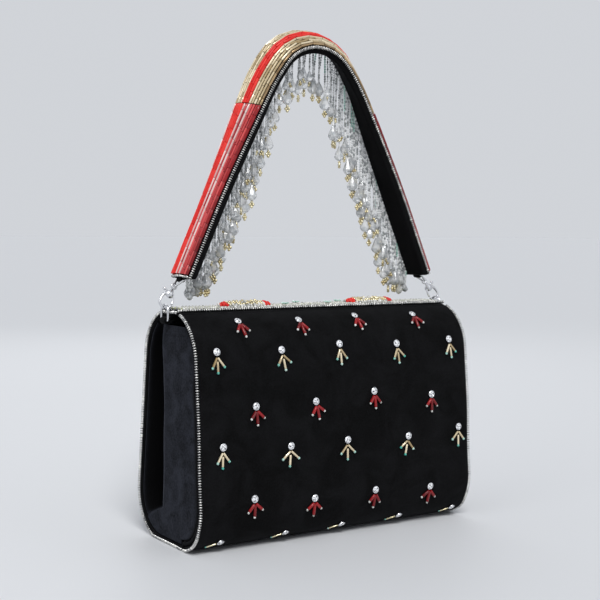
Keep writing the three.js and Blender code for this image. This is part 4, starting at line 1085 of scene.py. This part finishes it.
# Edging: oval beads lie crosswise along both edges and across both ends of the outer face.
def strapEdgeParts():
    edgeU = arch["width"] / 2 + strapEdge["out"]
    along = np.linspace(-strapReach, strapReach, int(2 * strapReach / strapEdge["pitch"]) + 1)
    sides = [(along, np.full_like(along, u)) for u in (-edgeU, edgeU)]
    u = np.linspace(-edgeU, edgeU, int(2 * edgeU / strapEdge["pitch"]) + 1)[1:-1]
    tips = [(np.full_like(u, reach), u) for reach in (-strapReach, strapReach)]
    parts = []
    for reach, across in sides + tips:
        at = strapFrame(reach)
        isSide = len(reach) == len(along)
        place = onStrap(reach, across, outerFace(across) - (strapEdge["drop"] if isSide else 0))
        length = unit(np.cross(at["out"], at["across"]))
        first, second = (at["across"], length) if isSide else (length, at["across"])
        axes = np.stack([first, second, np.cross(first, second)], axis=-1)
        parts.append(scatterParts(chainBall, place, axes, strapEdge["size" if isSide else "endSize"]))
    return parts


addChain("strapChain", strapEdgeParts(), "handle", ["strap_chain"])
print("strap made, reach", round(strapReach, 1))


# Strap beads: lengthwise rows of bugles, cream and coral at the top, rose and coral on the legs

strapBeads = {
    "rows": 12, "pitch": 2.28, "length": 10.5, "gap": 0.3, "radius": 0.87, "fullRadius": 1.12,
    "goldReach": 76.0, "endGap": 1.2, "lift": 0.1,
}


# Rows of bugles between two lengths, lying on the outer face; each row has its own start, as if sewn by
# hand.
def strapRow(row, start, end, radius):
    step = strapBeads["length"] + strapBeads["gap"]
    shift = step * dice.random()
    cuts = np.concatenate(
        [[start], np.arange(start + 0.3 * step + 0.7 * shift, end - 0.3 * step, step), [end]])
    low, high = cuts[:-1] + strapBeads["gap"] / 2, cuts[1:] - strapBeads["gap"] / 2
    u = np.full_like(low, (row - (strapBeads["rows"] - 1) / 2) * strapBeads["pitch"])
    v = outerFace(u) + strapBeads["lift"] + radius + dice.normal(0, 0.05, len(u))
    lowEnd, highEnd = onStrap(low, u, v), onStrap(high, u, v)
    return (lowEnd + highEnd) / 2, highEnd - lowEnd, strapFrame((low + high) / 2)["out"]


def addStrapRows(name, rows, spans, material, replaced=(), full=False):
    radius = strapBeads["fullRadius" if full else "radius"]
    found = [strapRow(row, start, end, radius) for row in rows for start, end in spans]
    middle, line, out = (np.concatenate([f[k] for f in found]) for k in range(3))
    length = np.linalg.norm(line, axis=1)
    size = np.stack([np.full_like(length, radius)] * 2 + [length], axis=1)
    addBeads(
        name, bugle, middle, axesAlong(line, out), size, material, "handle", replaced,
        sharpAngle=40)


goldSpan = [(-strapBeads["goldReach"], strapBeads["goldReach"])]
outer = strapReach - strapBeads["endGap"]
legSpans = [(-outer, -strapBeads["goldReach"] - 0.4), (strapBeads["goldReach"] + 0.4, outer)]
addStrapRows("strapBronze", [0], goldSpan, goldGlass, ["strap_beads_top"])
addStrapRows("strapCream", [1, 2, 3, 4, 8, 9, 10, 11], goldSpan, creamBugle)
addStrapRows("strapCoral", [5, 6, 7], goldSpan, coralGlass, full=True)
addStrapRows(
    "strapDark", [0], legSpans, darkRedGlass, ["strap_beads_left", "strap_beads_right"],
    full=True)
addStrapRows("strapRose", [1, 2, 3, 5], legSpans, roseGlass)
addStrapRows("strapClear", [4, 6], legSpans, clearGlass)
addStrapRows("strapClearEdge", [11], legSpans, clearGlass, full=True)
addStrapRows("strapCoralLegs", [7, 8, 9, 10], legSpans, coralGlass, full=True)
print("strap beads made")


# Fringe: strands hang straight down from a line behind the middle of the strap's inner face

fringe = {
    "spacing": 3.0, "endGap": 3.5, "setBack": 5.5, "clear": 3.6, "swing": 20.0, "seedPitch": 1.85,
    "seedRadius": 0.98, "sway": 1.5,
    "apexLength": 39.5, "shoulderLength": 66.0, "legLength": 57.0, "shares": (1.0, 0.66, 0.86, 0.74),
    "dropLengths": (11.5, 8.5, 11.0, 8.5), "dropRadii": (4.0, 2.7, 3.7, 2.7),
    "tipCounts": (4, 2, 4, 3), "tipLength": 6.0, "tipRadius": 1.2, "tealShare": 0.14, "columnRoom": 29.0,
    "columnRadius": 1.2, "columnPitch": 2.2, "columnDrop": 6.5, "columnDropRadius": 2.4,
    "shoulderRun": (6.0, 48.0), "legRun": (75.0, 140.0), "lengthShake": 1.2, "sideShake": 0.5,
}
strandReach = np.arange(-strapReach + fringe["endGap"], strapReach - fringe["endGap"], fringe["spacing"])
strandCount = len(strandReach)
innerFace = np.full(strandCount, -arch["thickness"] / 2)
strandTop = onStrap(strandReach, np.full(strandCount, fringe["setBack"]), innerFace)
kind = np.arange(strandCount) % len(fringe["shares"])
shoulder = easeStep(np.abs(strandReach), *fringe["shoulderRun"])
low = easeStep(np.abs(strandReach), *fringe["legRun"])
longest = fringe["apexLength"] + (fringe["shoulderLength"] - fringe["apexLength"]) * shoulder
longest = longest + (fringe["legLength"] - fringe["shoulderLength"]) * low
wanted = longest * np.array(fringe["shares"])[kind] + dice.normal(0, fringe["lengthShake"], strandCount)
sideShift = dice.normal(0, fringe["sideShake"], strandCount)
strandShift = np.stack([sideShift, dice.normal(0, fringe["sway"], strandCount)], axis=1)

# Room under a strand: down to the height that still clears the top beads with the handle leaned back,
# axis + (clear + y * sin(swing)) / cos(swing) for a y behind the ring's axis.
swing = np.radians(fringe["swing"])
behind = strandTop[:, 1] + strandShift[:, 1] - arch["ringBack"]
leftOver = (fringe["clear"] + np.maximum(behind, 0) * np.sin(swing)) / np.cos(swing)
room = strandTop[:, 2] - ring["axis"] - leftOver
isColumn = room < fringe["columnRoom"]
isBare = isColumn | ((kind % 2 == 1) & (wanted + fringe["tipLength"] > room))
tipCount = np.where(isBare, 0, np.array(fringe["tipCounts"])[kind])
strandLength = np.minimum(wanted, room - np.where(isBare, 0, fringe["tipLength"]))
dropLength = np.where(isColumn, fringe["columnDrop"], np.array(fringe["dropLengths"])[kind])
dropRadius = np.where(isColumn, fringe["columnDropRadius"], np.array(fringe["dropRadii"])[kind])
seedPitch = np.where(isColumn, fringe["columnPitch"], fringe["seedPitch"])
seedRadius = np.where(isColumn, fringe["columnRadius"], fringe["seedRadius"])
seedRun = strandLength - dropLength
seedCount = np.maximum((seedRun / seedPitch).astype(int), 1)

# Every seed: its strand's number repeated, and its own number within the strand.
strand = np.repeat(np.arange(strandCount), seedCount)
number = np.arange(len(strand)) - np.repeat(np.cumsum(seedCount) - seedCount, seedCount)
drop = (number + 0.5) * seedPitch[strand]
share = drop / seedRun[strand]
seedPlace = strandTop[strand].copy()
seedPlace[:, 2] -= drop
seedPlace[:, :2] += strandShift[strand] * np.minimum(share * 1.5, 1)[:, None]
isTeal = (dice.random(strandCount) < fringe["tealShare"])[strand] & (share < 0.45)
seedSize = seedRadius[strand][:, None] * np.array([[1, 1, 1.02]])
smallBall = ballParts(6, 4)
# each seed's tone is a painted glint, bright for most and dark for the others
for name, chosen, material, replaced in (
    ("fringeSeeds", ~isTeal, fringeGlass, ["bead_fringe"]), ("fringeTealSeeds", isTeal, fringeTeal, []),
):
    places = seedPlace[chosen]
    addBeads(
        name, smallBall, places, np.eye(3), seedSize[chosen], material, "handle", replaced,
        sharpAngle=30, tones=paintedGlints(len(places)))

endPlace = strandTop.copy()
endPlace[:, :2] += strandShift
endPlace[:, 2] -= seedCount * seedPitch
dropPlace = endPlace - dropLength[:, None] * np.array([0, 0, 0.5])
spin = dice.random(strandCount) * np.pi
cosine, sine, zero, one = np.cos(spin), np.sin(spin), np.zeros(strandCount), np.ones(strandCount)
dropAxes = np.array([[cosine, -sine, zero], [sine, cosine, zero], [zero, zero, one]]).transpose(2, 0, 1)
pear = apart(dropParts(8))
facetSizes = np.concatenate([np.full(len(f), f.shape[1]) for f in pear[1]])
dropSize = np.stack([dropRadius, dropRadius, dropLength], axis=1)
# each facet of a drop carries a painted glint tone, bright for most and dark for the others
addPiece(
    "fringeDrops", [scatterParts(pear, dropPlace, dropAxes, dropSize)], dropGlass, "handle",
    sharpAngle=8, closed=False,
    tones=np.repeat(paintedGlints(strandCount * len(facetSizes)), np.tile(facetSizes, strandCount)))

# Tips: a gold bead under each drop, two beside each other, and one last, as many as its kind has.
tipOffsets = np.array([[0, 0, -1.0], [-1.15, 0, -2.8], [1.15, 0, -2.8], [0, 0, -4.5]])
tipPlace = endPlace - dropLength[:, None] * np.array([0, 0, 1.0])
tips = tipPlace[:, None] + np.einsum("nij,kj->nki", dropAxes, tipOffsets)
tips = tips[np.arange(len(tipOffsets))[None] < tipCount[:, None]]
addBeads(
    "fringeTips", seedBall, tips, np.eye(3), fringe["tipRadius"], paleGold, "handle")
print("fringe made:", strandCount, "strands,", len(seedPlace), "seeds")


# Fittings at the ends: D-rings and their velvet loops on the bag

tab = {"width": 7.2, "thickness": 1.2, "padLength": 12.0, "padInset": 4.5}


def endPoint(points):
    return points + np.array([-arch["ringOut"], arch["ringBack"], ring["axis"]])


# D outline in Y and Z: a half circle, two legs and a bar with rounded corners.
def dRingParts():
    top = np.linspace(0, np.pi, 20)
    r, c, leg = ring["radius"], ring["corner"], ring["leg"]
    low = np.linspace(np.pi, 1.5 * np.pi, 6)
    arc = np.stack([r * np.cos(top), r * np.sin(top)], axis=1)
    first = np.stack([-r + c + c * np.cos(low), -leg + c + c * np.sin(low)], axis=1)
    second = np.stack([r - c + c * np.cos(low + np.pi / 2), -leg + c + c * np.sin(low + np.pi / 2)], axis=1)
    line = evenly(np.concatenate([arc, first, second]), 0.8, closed=True)
    place = endPoint(np.column_stack([np.zeros(len(line)), line]))
    return tubeParts(place, ring["wire"], ring["wire"], (1, 0, 0), 12, closed=True)


# Ribbon in X and Z: along under the strip, down to the bar, round it, and back under itself.
def ringTabParts():
    high = outline["height"] - outline["bodyBoard"] - 0.45 - ring["axis"]
    outside = arch["ringOut"] - boardEnd + tab["padInset"]
    inside = outside + tab["padLength"]
    half = tab["thickness"] / 2
    bar, turn = -ring["leg"], ring["wire"] + 0.3 + half
    slope = np.arctan2(high - bar, outside)
    sweep = np.linspace(slope + np.pi / 2, slope + 1.5 * np.pi, 18)
    loop = np.stack([turn * np.cos(sweep), bar + turn * np.sin(sweep)], axis=1)
    upper = np.array([[inside, high - half], [outside, high - half]])
    lower = np.array([[outside + 2 * half, high - 3.05 * half], [inside, high - 3.05 * half]])
    path = np.concatenate([bridge(upper[0], upper[1], 6), upper[1:], bridge(upper[1], loop[0], 8), loop,
                           bridge(loop[-1], lower[0], 8), lower[:1], bridge(lower[0], lower[1], 6)])
    path = softened(path, 1)
    place = endPoint(np.stack([path[:, 0], np.zeros(len(path)), path[:, 1]], axis=1))
    tangent = unit(np.gradient(place, axis=0))
    normals = np.cross(tangent, np.array([0, 1.0, 0]))
    return bandParts(place, normals, (0, 1, 0), tab["width"], tab["thickness"], 0.45)


addPiece("dRings", bothEnds(dRingParts()), silverPlate, "bag", ["d_ring_left", "d_ring_right"])
addPiece(
    "ringTabs", bothEnds(ringTabParts()), blackVelvet, "bag", ["ring_tab_left", "ring_tab_right"])


# Clasps: worked out along their own axis, then leaned, slid back along the ring and put in place

clasp = {
    "lean": 35.0, "tip": 13.0, "centre": 2.2, "reach": 4.55, "seat": 2.8, "eyeAlong": 15.6,
    "eyeRadius": 2.0,
    "eyeWire": 0.6, "pivotAcross": 2.0, "pivotAlong": 9.4, "leverReach": 7.4, "leverRise": 0.8,
    "wire": 0.85, "knob": 1.3, "housingAlong": (6.2, 7.0, 8.2, 9.6, 11.2, 12.6, 14.0),
    "housingAcross": (1.4, 2.7, 3.1, 2.7, 1.9, 1.25, 0.8),
    "housingThrough": (0.7, 1.45, 1.85, 1.9, 1.6, 1.15, 0.7),
}


# a across, y through the clasp, b along it.
def claspPlace(a, y, b):
    a, y, b = np.broadcast_arrays(np.asarray(a, float), np.asarray(y, float), np.asarray(b, float))
    turn, tip = np.radians(clasp["lean"]), np.radians(clasp["tip"])
    x = a * np.cos(turn) + b * np.sin(turn) - arch["ringOut"]
    z = -a * np.sin(turn) + b * np.cos(turn) + ring["radius"]
    deep = y * np.cos(tip) + z * np.sin(tip) + arch["ringBack"]
    high = -y * np.sin(tip) + z * np.cos(tip) + ring["axis"]
    return np.stack([x, deep, high], axis=-1)


claspThrough = claspPlace(0, 1, 0) - claspPlace(0, 0, 0)


# Hook wire from its tip round the bend and up the back, a flattened housing that narrows to the
# neck, and a wire eye; the housing is an ellipse along the axis with these half widths.
def claspBodyParts():
    bend = np.linspace(0, -np.pi, 30)
    r, c = clasp["reach"], clasp["centre"]
    hook = np.stack([r * np.cos(bend), c + r * np.sin(bend)], axis=1)
    back = np.array([[-r, 3.8], [-4.4, 5.4], [-3.9, 6.9], [-3.0, 8.4], [-2.0, 9.6]])
    tip = np.array([[r, clasp["seat"] - 0.25]])
    path = evenly(softened(np.concatenate([tip, hook, back]), 1), 0.45)
    share = np.linspace(0, 1, len(path))
    wide = clasp["wire"] * (1 + 0.45 * easeStep(share, 0.6, 1.0))
    wide[:2] *= np.array([0.6, 0.9])
    wire = tubeParts(claspPlace(path[:, 0], 0, path[:, 1]), wide, wide, claspThrough, 12)
    stops = clasp["housingAlong"]
    along = np.linspace(stops[0], stops[-1], 26)
    across = np.interp(along, stops, clasp["housingAcross"])
    through = np.interp(along, stops, clasp["housingThrough"])
    for _ in range(3):
        across, through = meaned(across), meaned(through)
    middle = np.interp(along, [stops[0], 9.0, stops[-1]], [-0.3, -0.2, 0.0])
    housing = tubeParts(claspPlace(middle, 0, along), through, across, claspThrough, 20)
    turn = np.linspace(0, 2 * np.pi, 24, endpoint=False)
    eyeRadius, eyeWire = clasp["eyeRadius"], clasp["eyeWire"]
    eye = claspPlace(eyeRadius * np.cos(turn), 0, clasp["eyeAlong"] + eyeRadius * np.sin(turn))
    return [wire, housing, tubeParts(eye, eyeWire, eyeWire, claspThrough, 10, closed=True)]


# Gate and lever: a bar that closes the hook, past the pivot and out to a thumb knob.
def claspGateParts():
    pa, pb, r = clasp["pivotAcross"], clasp["pivotAlong"], clasp["reach"]
    knob = np.array([pa - clasp["leverReach"], pb + clasp["leverRise"]])
    path = np.array(
        [[r, clasp["seat"] + 0.15], [r, 4.4], [r - 0.2, 5.8], [3.6, 7.6], [pa, pb], [0.2, pb + 0.5],
                     [-2.5, pb + 0.75], knob])
    path = evenly(softened(path, 3), 0.45)
    share = np.linspace(0, 1, len(path))
    wide = 0.74 - 0.2 * easeStep(share, 0.4, 0.65)
    wide[:1] *= 0.7
    bar = tubeParts(claspPlace(path[:, 0], 0, path[:, 1]), wide, wide, claspThrough, 10)
    points, faces = ballParts(12, 8)
    points = points * clasp["knob"]
    head = claspPlace(knob[0] + points[:, 0], points[:, 1], knob[1] + points[:, 2])
    return [bar, (head, faces)]


claspBoth = [bothEnds(parts) for parts in claspBodyParts()]
addPiece(
    "claspBodies", [p for pair in claspBoth for p in pair], silverPlate, "handle",
    ["clasp_body_left", "clasp_body_right"])
gateBoth = [bothEnds(parts) for parts in claspGateParts()]
for index, side in enumerate(("Left", "Right")):
    addPiece(
        "claspGate" + side, [pair[index] for pair in gateBoth], silverPlate, "trigger_" + side.lower(),
        ["clasp_trigger_" + side.lower()])

link = {"wire": 0.75, "bar": 10.6, "foot": 2.8, "reach": 1.5, "out": 1.2, "loopWidth": 6.4, "loopWall": 1.0}
legDown = np.array([-np.sin(np.radians(arch["legLean"])), 0, -np.cos(np.radians(arch["legLean"]))])
strapStart = strapFrame(np.array([-strapReach]))
linkBar = strapStart["place"][0] + legDown * link["reach"] + strapStart["outward"][0] * link["out"]


# Wire ring from the clasp's eye to the bar in the strap-end loop: a tapered frame with round corners.
def linkParts():
    eye = claspPlace(0, 0, clasp["eyeAlong"])
    up = linkBar - eye
    rear = np.array([0, 1.0, 0])
    foot, bar = link["foot"] / 2, link["bar"] / 2
    corners = np.array([[-foot, 0], [foot, 0], [bar, 1], [-bar, 1]])
    dense = np.concatenate([np.linspace(corners[k], corners[(k + 1) % 4], 7)[:-1] for k in range(4)])
    line = evenly(softened(dense, 2, closed=True), 0.12, closed=True)
    points = eye + line[:, :1] * rear + line[:, 1:] * up
    points = evenly(points, 0.6, closed=True)
    return tubeParts(points, link["wire"], link["wire"], np.cross(rear, up), 10, closed=True)


# Loop: a ribbon from the strap's end, round the bar and back.
def strapTabParts():
    turn = link["wire"] + 0.3 + link["loopWall"] / 2
    lower = np.linspace(np.pi, 2 * np.pi, 14)
    loop = np.stack([turn * np.cos(lower), turn * np.sin(lower)], axis=1)
    neck = link["reach"] - 0.2
    down = bridge(np.array([-turn, neck]), loop[0], 5)
    path = np.concatenate([down, loop, bridge(loop[-1], np.array([turn, neck]), 5)])
    tilt = np.radians(arch["legLean"])
    x = path[:, 0] * np.cos(tilt) + path[:, 1] * np.sin(tilt)
    z = -path[:, 0] * np.sin(tilt) + path[:, 1] * np.cos(tilt)
    place = linkBar + np.stack([x, 0 * x, z], axis=1)
    tangent = unit(np.gradient(place, axis=0))
    normals = np.cross(tangent, np.array([0, 1.0, 0]))
    return bandParts(place, normals, (0, 1, 0), link["loopWidth"], link["loopWall"], 0.4)


addPiece(
    "strapRings", bothEnds(linkParts()), silverPlate, "handle",
    ["strap_ring_left", "strap_ring_right"])
addPiece(
    "strapTabs", bothEnds(strapTabParts()), strapVelvet, "handle",
    ["strap_tab_left", "strap_tab_right"])

# Closure magnets: flat discs with eased rims, square to the front panel at a depth from its face

magnet = {"height": 52.0, "radius": 8.0, "thickness": 1.2, "ease": 0.25, "flapDepth": 1.9, "bodyDepth": 3.4}


def magnetParts(depth):
    radius, ease, deep = magnet["radius"], magnet["ease"], magnet["thickness"]
    disc = latheParts(
        [(radius - ease, 0), (radius, ease), (radius, deep - ease), (radius - ease, deep)], 48)
    inward = np.array([[0, np.cos(lean), -np.sin(lean)]])
    face = np.array([[0, -halfDepth(np.array(magnet["height"]), 0), magnet["height"]]])
    return scatterParts(disc, face + depth * inward, axesAlong(inward, (1, 0, 0)), 1.0)


addPiece("flapMagnet", [magnetParts(magnet["flapDepth"])], plainSteel, "flap", ["flap_magnet"])
addPiece("bodyMagnet", [magnetParts(magnet["bodyDepth"])], plainSteel, "bag", ["body_magnet"])

kept = {
    "base_board": fibreBoard,
    "clasp_pin_left": plainSteel, "clasp_pin_right": plainSteel,
    "clasp_spring_left": plainSteel, "clasp_spring_right": plainSteel,
}
for nodeName, material in kept.items():
    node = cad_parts[nodeName]
    node.data.materials.clear()
    node.data.materials.append(material)
print("fittings made")


# Stage: pale floor, soft lamps, and the camera at the photograph's angle

stage = {
    "floorSize": 30.0, "floor": color(0.76, 0.77, 0.79), "backdrop": color(0.635, 0.655, 0.69),
    "fill": color(0.8, 0.84, 0.9), "fillStrength": 0.42,
    "cameraPlace": (-508.7, -757.9, 228.5), "yaw": 33.32, "pitch": 3.66, "roll": 0.64, "lens": 73.07,
    "sunFrom": (-0.35, -0.85, 1.15), "sunPower": 1.9, "sunSpread": 24.0,
    "lampTarget": (0, 0, 0.15),
}
floorMesh = bpy.data.meshes.new("floor")
reach = stage["floorSize"] / 2
floorCorners = [(x * reach, y * reach, 0) for x, y in ((-1, -1), (1, -1), (1, 1), (-1, 1))]
floorMesh.from_pydata(floorCorners, [], [(0, 1, 2, 3)])
floorMaterial, nodes, links, shader = newMaterial("paleFloor")
shader.inputs["Base Color"].default_value = stage["floor"]
shader.inputs["Roughness"].default_value = 0.55
floorMesh.materials.append(floorMaterial)
floor = bpy.data.objects.new("floor", floorMesh)
scene.collection.objects.link(floor)

world = bpy.data.worlds.new("studio")
scene.world = world
world.use_nodes = True
nodes, links = world.node_tree.nodes, world.node_tree.links
lightPath = addNode(nodes, "LightPath")
seen = addNode(nodes, "Math", operation="MAXIMUM")
seenToo = addNode(nodes, "Math", operation="MAXIMUM")
fill = nodes["Background"]
fill.inputs["Color"].default_value = stage["fill"]
fill.inputs["Strength"].default_value = stage["fillStrength"]
backdrop = addNode(nodes, "Background", {"Color": stage["backdrop"]})
mixed = addNode(nodes, "MixShader")
joinNodes(
    links, (lightPath, "Is Camera Ray", seen, 0), (lightPath, "Is Glossy Ray", seen, 1),
    (seen, 0, seenToo, 0), (lightPath, "Is Transmission Ray", seenToo, 1), (seenToo, 0, mixed, "Fac"),
    (fill, "Background", mixed, 1), (backdrop, "Background", mixed, 2),
    (mixed, "Shader", nodes["World Output"], "Surface"))


# A thing placed in the scene with its own right, up and back directions.
def placeThing(name, data, right, up, back, place):
    thing = bpy.data.objects.new(name, data)
    rows = [[right[k], up[k], back[k], place[k]] for k in range(3)]
    thing.matrix_world = Matrix(rows + [[0, 0, 0, 1]])
    scene.collection.objects.link(thing)
    return thing


def addLamp(name, data, back, place):
    right = unit(np.cross(np.array([0, 0, 1.0]), back))
    placeThing(name, data, right, np.cross(back, right), back, place)


lamps = (
    ("sideLamp", (-1.2, -0.3, 0.8), 0.8, 2.0), ("frontLamp", (0.8, -1.4, 0.8), 0.9, 1.6),
    ("rearLamp", (0.5, 1.2, 0.9), 0.9, 2.0),
)
for name, place, size, power in lamps:
    lamp = bpy.data.lights.new(name, "AREA")
    lamp.size = size
    lamp.energy = power
    addLamp(name, lamp, unit(np.array(place) - np.array(stage["lampTarget"])), place)
sun = bpy.data.lights.new("sun", "SUN")
sun.energy = stage["sunPower"]
sun.angle = np.radians(stage["sunSpread"])
addLamp("sun", sun, unit(np.array(stage["sunFrom"])), (0, 0, 0))

yaw, pitch, roll = (np.radians(stage[k]) for k in ("yaw", "pitch", "roll"))
ahead = np.array([np.sin(yaw) * np.cos(pitch), np.cos(yaw) * np.cos(pitch), -np.sin(pitch)])
right = unit(np.cross(ahead, np.array([0, 0, 1.0])))
up = np.cross(right, ahead)
right, up = right * np.cos(roll) + up * np.sin(roll), up * np.cos(roll) - right * np.sin(roll)
cameraData = bpy.data.cameras.new("camera")
cameraData.lens = stage["lens"]
cameraData.sensor_width = 36.0
cameraPlace = np.array(stage["cameraPlace"]) * metre
camera = placeThing("camera", cameraData, right, up, -ahead, cameraPlace)
scene.camera = camera
print("stage set")
